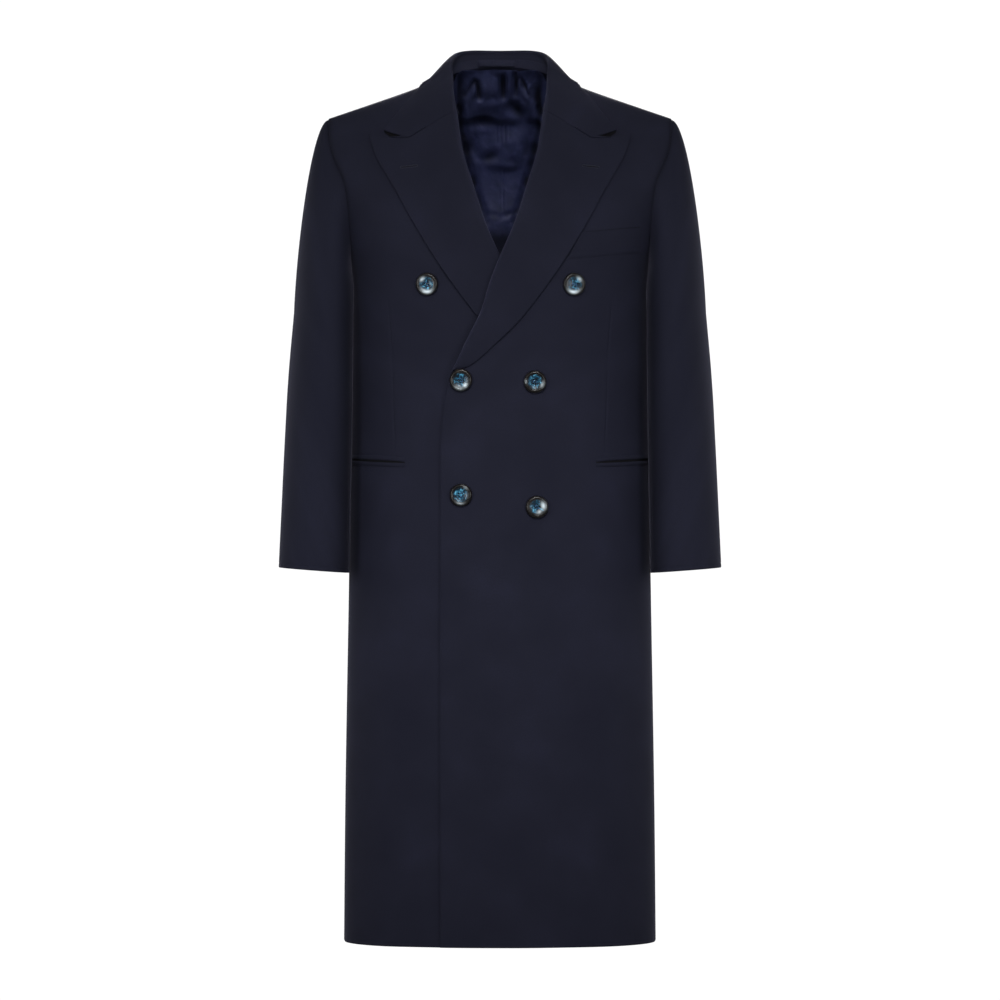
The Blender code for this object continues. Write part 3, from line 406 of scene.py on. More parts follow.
def track(table, place, column):
    """A named column at places along the table's first column, on a smooth curve through its rows."""
    places = np.array([row[0] for row in table], dtype=float)
    values = np.array([getattr(row, column) for row in table], dtype=float)
    rows = np.arange(len(table))
    low, high = np.maximum(rows - 1, 0), np.minimum(rows + 1, len(table) - 1)
    slopes = (values[high] - values[low]) / (places[high] - places[low])
    index = np.clip(np.searchsorted(places, place, side="right") - 1, 0, len(table) - 2)
    span = places[index + 1] - places[index]
    t = np.clip((place - places[index]) / span, 0.0, 1.0)
    return hermite(values[index], values[index + 1], span * slopes[index], span * slopes[index + 1], t)


def tracked(table, place, *columns):
    return points_of(*(track(table, place, column) for column in columns))


def unit(vectors):
    return vectors / np.maximum(np.linalg.norm(vectors, axis=-1, keepdims=True), 1e-12)


def mirrored(points, side):
    return points * np.array((side, 1.0, 1.0))


# The coat's outer face, as the solids have it. An angle of 0 is the centre line and a quarter turn is
# the side seam, and the square of the fall is how far a point lies below the shoulder ridge.


def ridge_height(x):
    sloping = SHOULDER_HEIGHT + SHOULDER_SLOPE * (SHOULDER_HALF - np.hypot(x, RIDGE_ROUNDING))
    return sloping + NECK_RISE * np.exp(-((x / NECK_SPREAD) ** 2))


def ridge_shift(x, drop):
    return NECK_SHIFT * np.maximum(1.0 - (x / SHOULDER_HALF) ** 2, 0.0) * np.exp(-drop / NECK_SHIFT_FADE)


def body_point(angle, fall, face):
    drop, sine = fall * fall, np.sin(angle)
    x = np.zeros(np.broadcast(angle, fall).shape)
    for _ in range(SETTLE_STEPS):
        x = track(BODY, ridge_height(x) - drop, "half_width") * sine
    height = ridge_height(x) - drop
    front = np.asarray(face) == FRONT
    depth = np.where(front, track(BODY, height, "front_depth"), track(BODY, height, "back_depth"))
    reach, power = np.where(front, CHEST_REACH, BLADE_REACH), np.where(front, CHEST_POWER, BLADE_POWER)
    swell = np.sqrt(1.0 - (1.0 - np.minimum(drop / reach, 1.0)) ** power)
    squareness = track(BODY, height, "squareness")
    corner = np.maximum(1.0 - np.abs(sine) ** squareness, 0.0) ** (1.0 / squareness)
    depth = depth * np.copysign(swell, fall) * np.copysign(corner, np.cos(angle))
    y = track(BODY, height, "centre_y") + ridge_shift(x, drop) + face * depth
    return points_of(x, y, height)


def body_normal(angle, fall, face):
    step = 1e-3
    across = body_point(angle + step, fall, face) - body_point(angle - step, fall, face)
    along = body_point(angle, fall + step, face) - body_point(angle, fall - step, face)
    return unit(np.cross(across, along)) * np.asarray(face)[..., None]


def place_on_body(x, z):
    angle = np.arcsin(np.clip(x / track(BODY, z, "half_width"), -1.0, 1.0))
    return angle, np.sqrt(np.maximum(ridge_height(x) - z, 0.0))


ARMPIT_FALL = float(np.sqrt(ridge_height(track(BODY, ARMPIT_HEIGHT, "half_width")) - ARMPIT_HEIGHT))
NECK_SINE = NECK_HALF / track(BODY, ridge_height(NECK_HALF), "half_width")


def armhole_angle(fall):
    share = fall / ARMPIT_FALL
    hollow = ARMHOLE_HOLLOW * np.exp(-((share - ARMHOLE_HOLLOW_SHARE) / ARMHOLE_HOLLOW_SPREAD) ** 2)
    return mix(ARMHOLE_ANGLE, math.pi / 2, share ** ARMHOLE_CURL) - hollow


def neckline_fall(x):
    out = np.minimum(np.abs(x) / NECK_HALF, 1.0)
    height = mix(BACK_NECK_HEIGHT, ridge_height(NECK_HALF), out ** BACK_NECK_SHAPE)
    return np.where(out < 1.0, np.sqrt(np.maximum(ridge_height(x) - height, 0.0)), 0.0)


def front_drop(side, x, z):
    """How far the under front lies inside the outer face. x counts towards the front's own side."""
    if side == LEFT:
        return np.zeros(np.broadcast(x, z).shape)
    between_lapels = ease((z - LAPEL_DROP_END) / DROP_FADE) * ease((LAPEL_DROP_TOP - z) / DROP_FADE)
    below = ease((OVERLAP_DROP_TOP - z) / DROP_FADE)
    depth = LAPEL_DROP * between_lapels + OVERLAP_DROP * below * (1.0 - between_lapels)
    start, end = OVERLAP_EASE
    return depth * ease((end - x) / (end - start))


def front_spot(side, x, z, out):
    """Points this far out from the front panel on its own side, and its outward directions there."""
    angle, fall = place_on_body(x, z)
    normal = body_normal(angle, fall, FRONT)
    lift = np.asarray(out - front_drop(side, x, z))
    return body_point(angle, fall, FRONT) + normal * lift[..., None], normal


# Making the shells


def grid_normals(grid, inside):
    """The directions square to a grid, pointing away from a point inside."""
    normals = unit(np.cross(np.gradient(grid, axis=0), np.gradient(grid, axis=1)))
    return normals * np.sign(np.sum(normals * (grid - np.array(inside))))


def crease_depth(creases, x, z):
    """How far in the cloth lies at each place: soft troughs, with the cloth standing up beside them."""
    depth = np.zeros(np.broadcast(x, z).shape)
    for crease in creases:
        run_x, run_z = crease.end_x - crease.start_x, crease.end_z - crease.start_z
        along = ((x - crease.start_x) * run_x + (z - crease.start_z) * run_z) / (run_x ** 2 + run_z ** 2)
        along = np.clip(along, 0.0, 1.0)
        off_x, off_z = x - crease.start_x - run_x * along, z - crease.start_z - run_z * along
        away = np.hypot(off_x, off_z) / crease.width
        trough = np.exp(-away ** 2) - CREASE_LIP * np.exp(-(away - CREASE_LIP_AWAY) ** 2)
        depth += crease.depth * trough * mix(CREASE_END, 1.0, np.sin(np.pi * mix(0.1, 0.9, along)))
    return depth


def cloth_lengths(grid):
    """Lengths across and down the cloth at each of its points, from its first corner."""
    across, down = np.zeros(grid.shape[:2]), np.zeros(grid.shape[:2])
    across[:, 1:] = np.cumsum(np.linalg.norm(np.diff(grid, axis=1), axis=-1), axis=1)
    down[1:] = np.cumsum(np.linalg.norm(np.diff(grid, axis=0), axis=-1), axis=0)
    return across, down


def roll_painted_highlight(columns):
    """Painted highlight along a roll, palest where it turns edge on, for each of a rolled grid's columns."""
    shade = np.zeros(columns)
    seen = ROLL_TURNS < 0.6 * math.pi
    shade[2:2 + len(ROLL_TURNS)] = ROLL_PAINTED_HIGHLIGHT * np.where(seen, np.sin(ROLL_TURNS) ** 3, 0.0)
    return shade


def armhole_painted_shade(away):
    """Painted shade: darker in and beside the armhole's seam."""
    return -SEAM_PAINTED_SHADE * np.exp(-(away / SEAM_PAINTED_SHADE_WIDTH) ** 2)


def grid_area(grid):
    diagonals = np.cross(grid[1:, 1:] - grid[:-1, :-1], grid[1:, :-1] - grid[:-1, 1:])
    return float(np.linalg.norm(diagonals, axis=-1).sum() / 2)


def put_in_scene(name, data):
    made = bpy.data.objects.new(name, data)
    bpy.context.scene.collection.objects.link(made)
    return made


def finished(name, mesh, material, slot, *nodes):
    """A piece from its mesh, which stands for these solids."""
    mesh.materials.append(material)
    mesh.shade_smooth()
    mesh.set_sharp_from_angle(angle=SHARP_TURN)
    piece = put_in_scene(name, mesh)
    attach(piece, "root")
    if nodes:
        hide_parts(*nodes)
    return piece


def mesh_of(name, points, faces, uvs):
    mesh = bpy.data.meshes.new(name)
    mesh.from_pydata(points.tolist(), [], faces)
    corners = np.empty(len(mesh.loops), dtype=np.int32)
    mesh.loops.foreach_get("vertex_index", corners)
    layer = mesh.uv_layers.new(name="cloth")
    layer.data.foreach_set("uv", uvs[corners].ravel())
    return mesh


def make_shell(name, face, normals, thick, material, slot, *nodes, sewn=()):
    """A closed cloth wall whose outer face is this grid. Its edges turn down, except for rows that
    are sewn on flat."""
    rows, columns = face.shape[:2]
    index = np.arange(rows * columns).reshape(rows, columns)
    ring = np.concatenate((index[0], index[1:, -1], index[-1, -2::-1], index[-2:0:-1, 0]))
    count = rows * columns
    at_edge = np.zeros(count)
    at_edge[ring] = 1.0
    at_edge = at_edge.reshape(rows, columns, 1)
    at_edge[list(sewn)] = 0.0
    thick = np.broadcast_to(thick, (rows, columns))[..., None]
    turned = at_edge * np.minimum(EDGE_ROUND, thick * EDGE_ROUND_SHARE)
    points = np.concatenate(((face - normals * turned).reshape(-1, 3),
                             (face - normals * (thick - turned)).reshape(-1, 3)))
    quads = np.stack((index[:-1, :-1], index[:-1, 1:], index[1:, 1:], index[1:, :-1]), axis=-1)
    quads = quads.reshape(-1, 4)
    after = np.roll(ring, -1)
    rim = np.stack((after, ring, ring + count, after + count), axis=-1)
    quads = np.concatenate((quads, quads[:, ::-1] + count, rim))
    first, second, third, fourth = (points[quads[:, corner]] for corner in range(4))
    volume = np.sum(first * np.cross(second, third)) + np.sum(first * np.cross(third, fourth))
    if volume < 0.0:
        quads = quads[:, ::-1]
    across, down = cloth_lengths(face)
    uvs = np.stack((across.ravel(), down.ravel()), axis=-1)
    mesh = mesh_of(name, points, quads.tolist(), np.concatenate((uvs, uvs)))
    piece = finished(name, mesh, material, slot, *nodes)
    piece["cut"] = (float(across.max()), float(down.max()), grid_area(face))
    return piece


def set_shade(piece, name, values):
    """Gives a material these values at a piece's first points, which are a shell's outer face."""
    shade = np.zeros(len(piece.data.vertices))
    shade[:values.size] = values.ravel()
    piece.data.attributes.new(name, "FLOAT", "POINT").data.foreach_set("value", shade)
    return piece


def rolled(face, normals, radius, run_on):
    """The grid with its first column rolled over through half a turn, and run on behind."""
    start, square = face[:, 0], normals[:, 0]
    away = face[:, 1] - start
    away = unit(away - square * np.sum(away * square, axis=-1, keepdims=True))
    radius = np.asarray(radius)[..., None]
    middle = start - square * radius
    roll = [middle + square * radius * math.cos(turn) - away * radius * math.sin(turn) for turn in ROLL_TURNS]
    behind = [roll[0] + run_on(share, roll[0], away) for share in (1.0, 0.5)]
    return np.concatenate((np.stack(behind + roll, axis=1), face), axis=1)


# Materials


def linear(hex_colour):
    """A colour such as 1E2029, as sRGB, for a shader's socket."""
    channels = [int(hex_colour[place:place + 2], 16) / 255.0 for place in (0, 2, 4)]
    return tuple(c / 12.92 if c <= 0.04045 else ((c + 0.055) / 1.055) ** 2.4 for c in channels) + (1.0,)


def add_node(tree, kind, links=(), **settings):
    """A node with its settings, and its inputs from pairs of a socket and a value or another's output."""
    made = tree.nodes.new(kind)
    for name, value in settings.items():
        setattr(made, name, value)
    for socket, value in dict(links).items():
        if isinstance(value, bpy.types.NodeSocket):
            tree.links.new(value, made.inputs[socket])
        else:
            made.inputs[socket].default_value = value
    return made


def new_material(name, **shading):
    material = bpy.data.materials.new(name)
    material.use_nodes = True
    shader = material.node_tree.nodes["Principled BSDF"]
    for socket, value in shading.items():
        shader.inputs[socket.replace("_", " ").title().replace("Ior", "IOR")].default_value = value
    return material, material.node_tree, shader


def banded(tree, factor, *stops):
    """Colours along a ramp, from pairs of a place and a colour."""
    ramp = add_node(tree, "ShaderNodeValToRGB", {"Fac": factor})
    elements = ramp.color_ramp.elements
    while len(elements) < len(stops):
        elements.new(0.5)
    for element, (place, colour) in zip(elements, stops):
        element.position, element.color = place, linear(colour)
    return ramp.outputs["Color"]


def vary_roughness(tree, shader, pattern, low, high):
    ranged = add_node(tree, "ShaderNodeMapRange", {"Value": pattern.outputs["Fac"], "From Min": 0.3,
                                                   "From Max": 0.7, "To Min": low, "To Max": high})
    tree.links.new(ranged.outputs["Result"], shader.inputs["Roughness"])


def raise_threads(tree, shader, threads, share, tufts, strength, distance):
    """Relief of the woven threads, and of the tufts on them."""
    raised = add_node(tree, "ShaderNodeMath", {0: threads.outputs["Fac"], 1: share, 2: tufts.outputs["Fac"]},
                      operation="MULTIPLY_ADD")
    bump = add_node(tree, "ShaderNodeBump",
                    {"Height": raised.outputs[0], "Strength": strength, "Distance": distance})
    tree.links.new(bump.outputs["Normal"], shader.inputs["Normal"])


def turning_to(tree, attribute, colour, other):
    """The colour, which turns to the other one as the piece's attribute goes to 1."""
    share = add_node(tree, "ShaderNodeAttribute", attribute_name=attribute)
    return add_node(tree, "ShaderNodeMix", {"Factor": share.outputs["Fac"], 6: colour, 7: other},
                    data_type="RGBA").outputs[2]


TWILL_PITCH = 0.0012      # real twill lines are about 0.6 mm apart, drawn twice as coarse to show
NAP_SIZE = 0.0024         # tufts of the nap, drawn coarser than the 0.5 mm of the real ones
PRESS_SIZE = 0.085        # clouds left by pressing
WAVE_PERIOD = math.tau / 20.0


def worsted_wool():
    """Navy worsted wool, woven in a fine twill, brushed and pressed: dark and matt, with painted highlight
    along every turned edge and painted shade in seams and where parts meet."""
    material, tree, shader = new_material("navy_worsted_wool", sheen_weight=0.08, sheen_roughness=0.34,
                                          sheen_tint=linear("BDBCD8"), specular_ior_level=0.06)
    cloth = add_node(tree, "ShaderNodeUVMap", uv_map="cloth").outputs["UV"]
    grain = add_node(tree, "ShaderNodeMapping",
                     {"Vector": cloth, "Rotation": (0.0, 0.0, math.radians(63.0))})
    twill = add_node(tree, "ShaderNodeTexWave",
                     {"Vector": grain.outputs["Vector"], "Scale": WAVE_PERIOD / TWILL_PITCH,
                      "Distortion": 1.4, "Detail": 1.0, "Detail Scale": 1.5})
    nap = add_node(tree, "ShaderNodeTexNoise",
                   {"Vector": cloth, "Scale": 1.0 / NAP_SIZE, "Detail": 3.0, "Roughness": 0.65})
    pressing = add_node(tree, "ShaderNodeTexNoise",
                        {"Vector": cloth, "Scale": 1.0 / PRESS_SIZE, "Detail": 2.0, "Roughness": 0.5})
    shade = add_node(tree, "ShaderNodeMath", {0: nap.outputs["Fac"], 1: pressing.outputs["Fac"]},
                     operation="ADD")
    half = add_node(tree, "ShaderNodeMath", {0: shade.outputs[0], 1: 0.5}, operation="MULTIPLY")
    colour = banded(tree, half.outputs[0], (0.30, "13141F"), (0.52, "171823"), (0.72, "1C1D2B"))
    # The pressed attribute brings painted highlight (above 0) and painted shade (below 0) into the colour
    pressed = add_node(tree, "ShaderNodeAttribute", attribute_name="pressed")
    value = add_node(tree, "ShaderNodeMath", {0: pressed.outputs["Fac"], 1: 1.0}, operation="ADD")
    shaded = add_node(tree, "ShaderNodeHueSaturation", {"Color": colour, "Value": value.outputs[0]})
    tree.links.new(shaded.outputs["Color"], shader.inputs["Base Color"])
    vary_roughness(tree, shader, nap, 0.74, 0.92)
    raise_threads(tree, shader, twill, 0.35, nap, 0.20, 0.0004)
    return material


SATIN_PITCH = 0.0009      # satin floats are about 0.2 mm apart, drawn coarser to show
SATIN_SLUB = 0.014        # length of the uneven stretches along a thread


def lining_satin():
    """Navy acetate satin, woven with long floats: a blue gloss, with painted shade that darkens its folds."""
    material, tree, shader = new_material("navy_acetate_satin", sheen_weight=0.02, sheen_roughness=0.30,
                                          sheen_tint=linear("8E98E0"), specular_ior_level=0.10,
                                          anisotropic=0.35)
    cloth = add_node(tree, "ShaderNodeUVMap", uv_map="cloth").outputs["UV"]
    floats = add_node(tree, "ShaderNodeTexWave",
                      {"Vector": cloth, "Scale": WAVE_PERIOD / SATIN_PITCH, "Distortion": 0.8, "Detail": 1.0})
    slub = add_node(tree, "ShaderNodeTexNoise",
                    {"Vector": cloth, "Scale": 1.0 / SATIN_SLUB, "Detail": 3.0, "Roughness": 0.55})
    colour = banded(tree, slub.outputs["Fac"], (0.30, "1B1F36"), (0.55, "232741"), (0.75, "2C304C"))
    # Painted shade: the colour turns near-black in the lining's folds
    tree.links.new(turning_to(tree, "fold_painted_shade", colour, linear("06070F")), shader.inputs["Base Color"])
    vary_roughness(tree, shader, slub, 0.46, 0.60)
    raise_threads(tree, shader, floats, 0.12, slub, 0.35, 0.0012)
    return material


HORN_VEIN = 0.0050        # width of the veins across a button; the palest are partly painted reflection
HORN_SHIFT = 0.05         # each button is cut from another place in the horn


def polished_horn():
    """Dark buffalo horn, turned and polished: a near-black rim, a dish veined in blue whose palest veins are
    partly painted reflection, and painted glints drawn as pale streaks.
    """
    material, tree, shader = new_material("polished_dark_horn", roughness=0.30, coat_weight=0.05,
                                          coat_roughness=0.12, specular_ior_level=0.15, ior=1.54)
    cloth = add_node(tree, "ShaderNodeUVMap", uv_map="cloth").outputs["UV"]
    veins = add_node(tree, "ShaderNodeTexNoise", {"Vector": cloth, "Scale": 1.0 / HORN_VEIN, "Detail": 2.0,
                                                  "Roughness": 0.5, "Distortion": 1.2})
    bands = add_node(tree, "ShaderNodeTexNoise",
                     {"Vector": cloth, "Scale": 0.25 / HORN_VEIN, "Detail": 2.0, "Roughness": 0.5})
    rim = banded(tree, bands.outputs["Fac"], (0.35, "060505"), (0.58, "0E0B0A"), (0.76, "2A2622"))
    # The dish's blue veins: partly the horn's own colour, and at their palest partly painted reflection
    dish = banded(tree, veins.outputs["Fac"],
                  (0.36, "071018"), (0.48, "0C2636"), (0.58, "184A62"), (0.72, "5C9CB8"))
    colour = turning_to(tree, "dish", rim, dish)
    # Painted glints: pale streaks where light would catch the horn
    tree.links.new(turning_to(tree, "pale", colour, linear("C4D0D6")), shader.inputs["Base Color"])
    return material


FIBRE_SIZE, BACKING_SIZE, PAPER_SIZE = 1 / 2200, 1 / 900, 1.25


def mottled(tree, size, detail, *stops):
    """Mottling of this size in the piece's own space, and its colours."""
    place = add_node(tree, "ShaderNodeTexCoord").outputs["Object"]
    pattern = add_node(tree, "ShaderNodeTexNoise", {"Vector": place, "Scale": 1 / size, "Detail": detail})
    return pattern, banded(tree, pattern.outputs["Fac"], *stops)


def sewing_thread(name, dark, pale):
    """Twisted polyester thread: a soft gloss on each strand, with darker hollows between."""
    material, tree, shader = new_material(name, sheen_weight=0.02, sheen_roughness=0.4,
                                          specular_ior_level=0.15)
    fibre, colour = mottled(tree, FIBRE_SIZE, 2.0, (0.35, dark), (0.65, pale))
    tree.links.new(colour, shader.inputs["Base Color"])
    vary_roughness(tree, shader, fibre, 0.45, 0.65)
    return material


def painted_shade_sheet(name):
    """Black cotton or felt behind the wool, a near-black sheet that paints the shade inside a slit or notch.
    """
    material, tree, shader = new_material(name, roughness=0.95, specular_ior_level=0.1)
    _, colour = mottled(tree, BACKING_SIZE, 2.0, (0.3, "050506"), (0.7, "0B0B0F"))
    tree.links.new(colour, shader.inputs["Base Color"])
    return material


def floor_paper():
    """Matt white paper, lit on its own so that it stays pale without lighting the coat from below."""
    material, tree, shader = new_material("matt_white_paper", roughness=0.9, specular_ior_level=0.1)
    _, paper = mottled(tree, PAPER_SIZE, 1.0, (0.2, "F6F6F6"), (0.8, "FBFBFB"))
    tree.links.new(paper, shader.inputs["Base Color"])
    tree.links.new(paper, shader.inputs["Emission Color"])
    seen = add_node(tree, "ShaderNodeMapRange",
                    {"Value": add_node(tree, "ShaderNodeLightPath").outputs["Is Camera Ray"], "To Max": 0.55})
    tree.links.new(seen.outputs["Result"], shader.inputs["Emission Strength"])
    return material


WOOL, SATIN, HORN = worsted_wool(), lining_satin(), polished_horn()
BUTTON_THREAD = sewing_thread("blue_button_thread", "16263C", "3C5F86")
HOLE_THREAD = sewing_thread("navy_buttonhole_silk", "191B24", "262833")
# Near-black sheets that paint the shade in slits and in the notch
SLIT_SHADE_SHEET, NOTCH_SHADE_SHEET = painted_shade_sheet("black_pocketing_as_slit_shade"), painted_shade_sheet("black_felt_as_notch_shade")


# Fronts and backs


def front_edge(z):
    """The front's inner edge, drawn back inside the lapel's roll."""
    back = ROLL_BACK * ease((z - ROLL_BACK_START) / (ROLL_BACK_FULL - ROLL_BACK_START))
    return track(FRONT_EDGE, z, "reach") + back


def level_rows(start_x, levels, columns):
    start_angle, _ = place_on_body(start_x, levels)
    half_width = track(BODY, levels, "half_width")
    angle = mix(start_angle[:, None], math.pi / 2, columns[None, :])
    return angle, np.sqrt(ridge_height(half_width[:, None] * np.sin(angle)) - levels[:, None])


def yoke_shares():
    """How far down the armhole each row above the armpit meets it, from under 1 to 0."""
    return np.cos(math.pi / 2 * spread(64, (0.985, 1.0, 2))[1:])


def front_places(levels, columns):
    angle, fall = level_rows(front_edge(levels), levels, columns)
    shares = yoke_shares()
    edge_fall = fall[-1, 0] * shares
    z = -edge_fall ** 2
    for _ in range(SETTLE_STEPS):
        x = front_edge(z)
        z = ridge_height(x) - edge_fall ** 2
    inner_angle, _ = place_on_body(x, z)
    outer_angle = armhole_angle(ARMPIT_FALL * shares)
    yoke_angle = mix(inner_angle[:, None], outer_angle[:, None], columns[None, :])
    yoke_fall = fall[-1][None, :] * shares[:, None]
    return np.concatenate((angle, yoke_angle)), np.concatenate((fall, yoke_fall))


def back_top_angle(columns, outer_angle):
    round_neck = np.arcsin(NECK_SINE * np.sin(math.pi / 2 * np.minimum(columns / NECK_COLUMN_SHARE, 1.0)))
    along_shoulder = np.maximum((columns - NECK_COLUMN_SHARE) / (1.0 - NECK_COLUMN_SHARE), 0.0)
    return np.where(columns <= NECK_COLUMN_SHARE, round_neck,
                    mix(np.arcsin(NECK_SINE), outer_angle, along_shoulder))


def back_places(levels, columns):
    angle, fall = level_rows(np.zeros_like(levels), levels, columns)
    shares = yoke_shares()[:, None]
    outer_angle = armhole_angle(ARMPIT_FALL * shares)
    top_fall = neckline_fall(body_point(back_top_angle(columns, ARMHOLE_ANGLE), 0.0, BACK)[..., 0])
    yoke_angle = mix(back_top_angle(columns[None, :], outer_angle), outer_angle * columns[None, :], shares)
    yoke_fall = mix(top_fall[None, :], fall[-1][None, :], shares)
    return np.concatenate((angle, yoke_angle)), np.concatenate((fall, yoke_fall))


def panel_face(side, face, angle, fall, levels):
    """The outer points of a front or back on its own side, with half a seam's overlap along its seams."""
    points, normals = body_point(angle, fall, face), body_normal(angle, fall, face)
    if face == FRONT:
        points = points - normals * front_drop(side, points[..., 0], points[..., 2])[..., None]
    half_gap = SEAM_GAP / 2
    points[:levels, -1, 1] += face * half_gap
    points[-1, :, 1] += np.where((fall[-1] < 1e-6) | (face == FRONT), face * half_gap, 0.0)
    if face == BACK:
        points[:, 0, 0] += half_gap
        normals[:, 0, 0] = 0.0
    return points, unit(normals)


def make_panel(name, points, normals, levels):
    """A front or back, with painted shade along its armhole, which starts above these level rows."""
    panel = make_shell(name + "_cloth", points, normals, CLOTH, WOOL, "navy_wool", name)
    across, _ = cloth_lengths(points)
    shade = armhole_painted_shade(across[:, -1:] - across)
    shade[:levels] = 0.0
    return set_shade(panel, "pressed", shade)


def dart_depth(x, z):
    """A dart's seam: a fine groove that fades out at both ends."""
    low, high = DART[0].height, DART[-1].height
    here = ease((z - low) / DART_FADE + 0.5) * ease((high - z) / DART_FADE + 0.5)
    away = (x - track(DART, z, "x")) / DART_WIDTH
    return DART_DEPTH * here * np.exp(-away ** 2)


def mouth_height(x):
    return JET_MOUTH_Z + JET_SLOPE * (x - JET_INNER_X)


def make_front(side, side_name):
    pocket = [(z - HEM_HEIGHT) / (ARMPIT_HEIGHT - HEM_HEIGHT) for z in POCKET_ROWS]
    levels = mix(HEM_HEIGHT, ARMPIT_HEIGHT, spread(80, (0.0, 0.003, 2), (*pocket, 24)))
    columns = spread(46, (0.0, 0.008, 2), (0.556, 0.616, 34), (0.992, 1.0, 2))
    angle, fall = front_places(levels, columns)
    points, normals = panel_face(side, FRONT, angle, fall, len(levels))
    x, z = points[..., 0], points[..., 2]
    inward = crease_depth(FRONT_CREASES[side_name], x, z) + dart_depth(x, z)
    slit = np.exp(-((z - mouth_height(x)) / SLIT_WIDTH) ** 2) * ease((x - JET_INNER_X) / SLIT_FADE)
    points = mirrored(points - normals * (inward + SLIT_DEPTH * slit)[..., None], side)
    return make_panel("front_" + side_name, points, mirrored(normals, side), len(levels))


def make_back(side, side_name):
    levels = mix(HEM_HEIGHT, ARMPIT_HEIGHT, spread(84, (0.0, 0.003, 2)))
    columns = spread(44, (0.0, 0.010, 2), (0.990, 1.0, 2),
                     (NECK_COLUMN_SHARE - 0.02, NECK_COLUMN_SHARE, 2))
    angle, fall = back_places(levels, columns)
    points, normals = panel_face(side, BACK, angle, fall, len(levels))
    inward = crease_depth(BACK_CREASES[side_name], points[..., 0], points[..., 2])
    points = mirrored(points - normals * inward[..., None], side)
    return make_panel("back_" + side_name, points, mirrored(normals, side), len(levels))


# Lapels, welt and jets, which lie on the fronts


def notched(start, end, share, notch_share, rise):
    """A path from the roll line to the notch, where it bends, and on to a free corner in a bow."""
    notch = np.array((NOTCH_X, NOTCH_Z))
    before = mix(start, notch, (share / notch_share)[..., None])
    beyond = np.clip((share - notch_share) / (1.0 - notch_share), 0.0, 1.0)
    after = mix(notch, end, beyond[..., None])
    after[..., 1] += rise * np.sin(math.pi * beyond)
    return np.where((share < notch_share)[..., None], before, after)


def lapel_places(step, share):
    roll, edge = tracked(LAPEL, step, "roll_x", "roll_z"), tracked(LAPEL, step, "edge_x", "edge_z")
    bend = np.maximum(step - LAPEL[-1].step + 1.0, 0.0)[..., None] ** NOTCH_EASE
    top = notched(roll, edge, share, LAPEL_NOTCH_SHARE, LAPEL_TOP_RISE)
    places = mix(mix(roll, edge, share[..., None]), top, bend)
    return places[..., 0], places[..., 1]


def lapel_rise(share):
    """How far a free lapel bows out from the front, from its roll to its edge."""
    return LAPEL_ROLL * np.sin(math.pi * share ** LAPEL_ROLL_SHAPE)


def lapel_face(side):
    rows = spread(66, (0.985, 1.0, 3))
    step = mix(LAPEL[0].step, LAPEL[-1].step, rows)[:, None]
    wide = np.linalg.norm(tracked(LAPEL, step, "edge_x", "edge_z") - tracked(LAPEL, step, "roll_x", "roll_z"),
                          axis=-1)
    radius = np.minimum(LAPEL_FOLD, LAPEL_FOLD_SHARE * wide)
    columns = spread(35, (0.0, 0.02, 2), (0.97, 1.0, 3))[None, :]
    share = mix(radius / wide, 1.0, columns)
    x, z = lapel_places(np.broadcast_to(step, share.shape), share)
    free = 1.0 if side == LEFT else ease((z - UNDER_LAPEL_END) / UNDER_LAPEL_FADE)
    points, normals = front_spot(side, x, z, LAY_GAP + CLOTH + free * lapel_rise(share))
    return points, normals, radius[:, 0]


def make_lapel(side, side_name):
    points, normals, radius = lapel_face(side)
    whole = rolled(points, normals, radius, lambda share, start, away: away * FACING * share)
    normals = grid_normals(whole, (0.08, 0.0, -0.15))
    name = "lapel_" + side_name
    lapel = make_shell(name + "_cloth", mirrored(whole, side), mirrored(normals, side), FOLDED_CLOTH,
                       WOOL, "navy_wool", name, sewn=(-1,))
    # Painted highlight along the lapel's roll, carried in its pressed attribute
    return set_shade(lapel, "pressed", np.tile(roll_painted_highlight(whole.shape[1]), (len(whole), 1)))


def lapel_edge_x(z):
    rows = sorted((row.edge_z, row.edge_x) for row in LAPEL)
    return np.interp(z, [row[0] for row in rows], [row[1] for row in rows])


def make_strip(name, side, x, z, lift, thick, material, slot=None, *nodes):
    """A shell whose outer face lies this far above a front."""
    points, normals = front_spot(side, *np.broadcast_arrays(x, z, lift))
    return make_shell(name, mirrored(points, side), mirrored(normals, side), thick, material, slot, *nodes)


def make_chest_welt():
    up = spread(8, (0.0, 0.04, 1), (0.96, 1.0, 1))[:, None]
    lower_z = WELT_LOWER_Z + WELT_HEIGHT * up
    x = mix(lapel_edge_x(lower_z) + 2 * LAY_GAP, WELT_OUTER_X, spread(40, (0.98, 1.0, 2))[None, :])
    z = lower_z + WELT_SLOPE * (x - WELT_LOWER_X)
    lift = BACKING_LIFT + TRIM_CLOTH * mix(0.55, 1.0, ease(up * 8.0))
    upper = z[-1:] + np.array(((-WELT_HIDDEN,), (0.0,), (WELT_MOUTH,)))
    # Painted shade: a near-black strip in the welt's mouth
    mouth = make_strip("welt_mouth", LEFT, x[-1:], upper, BACKING_LIFT, BACKING_CLOTH, SLIT_SHADE_SHEET)
    welt = make_strip("chest_welt_cloth", LEFT, x, z, lift, TRIM_CLOTH, WOOL, "navy_wool", "chest_welt")
    return welt, mouth


def jet_grid(away):
    """Places along a pocket's mouth, and x and z of rows that lie these distances above it."""
    inner_angle, _ = place_on_body(JET_INNER_X, JET_MOUTH_Z)
    half_width = track(BODY, JET_MOUTH_Z, "half_width")
    along = spread(40, (0.0, 0.02, 2), (0.98, 1.0, 2))[None, :]
    x = half_width * np.sin(mix(inner_angle, JET_OUTER_ANGLE, along))
    return along, x, mouth_height(x) + away(along)


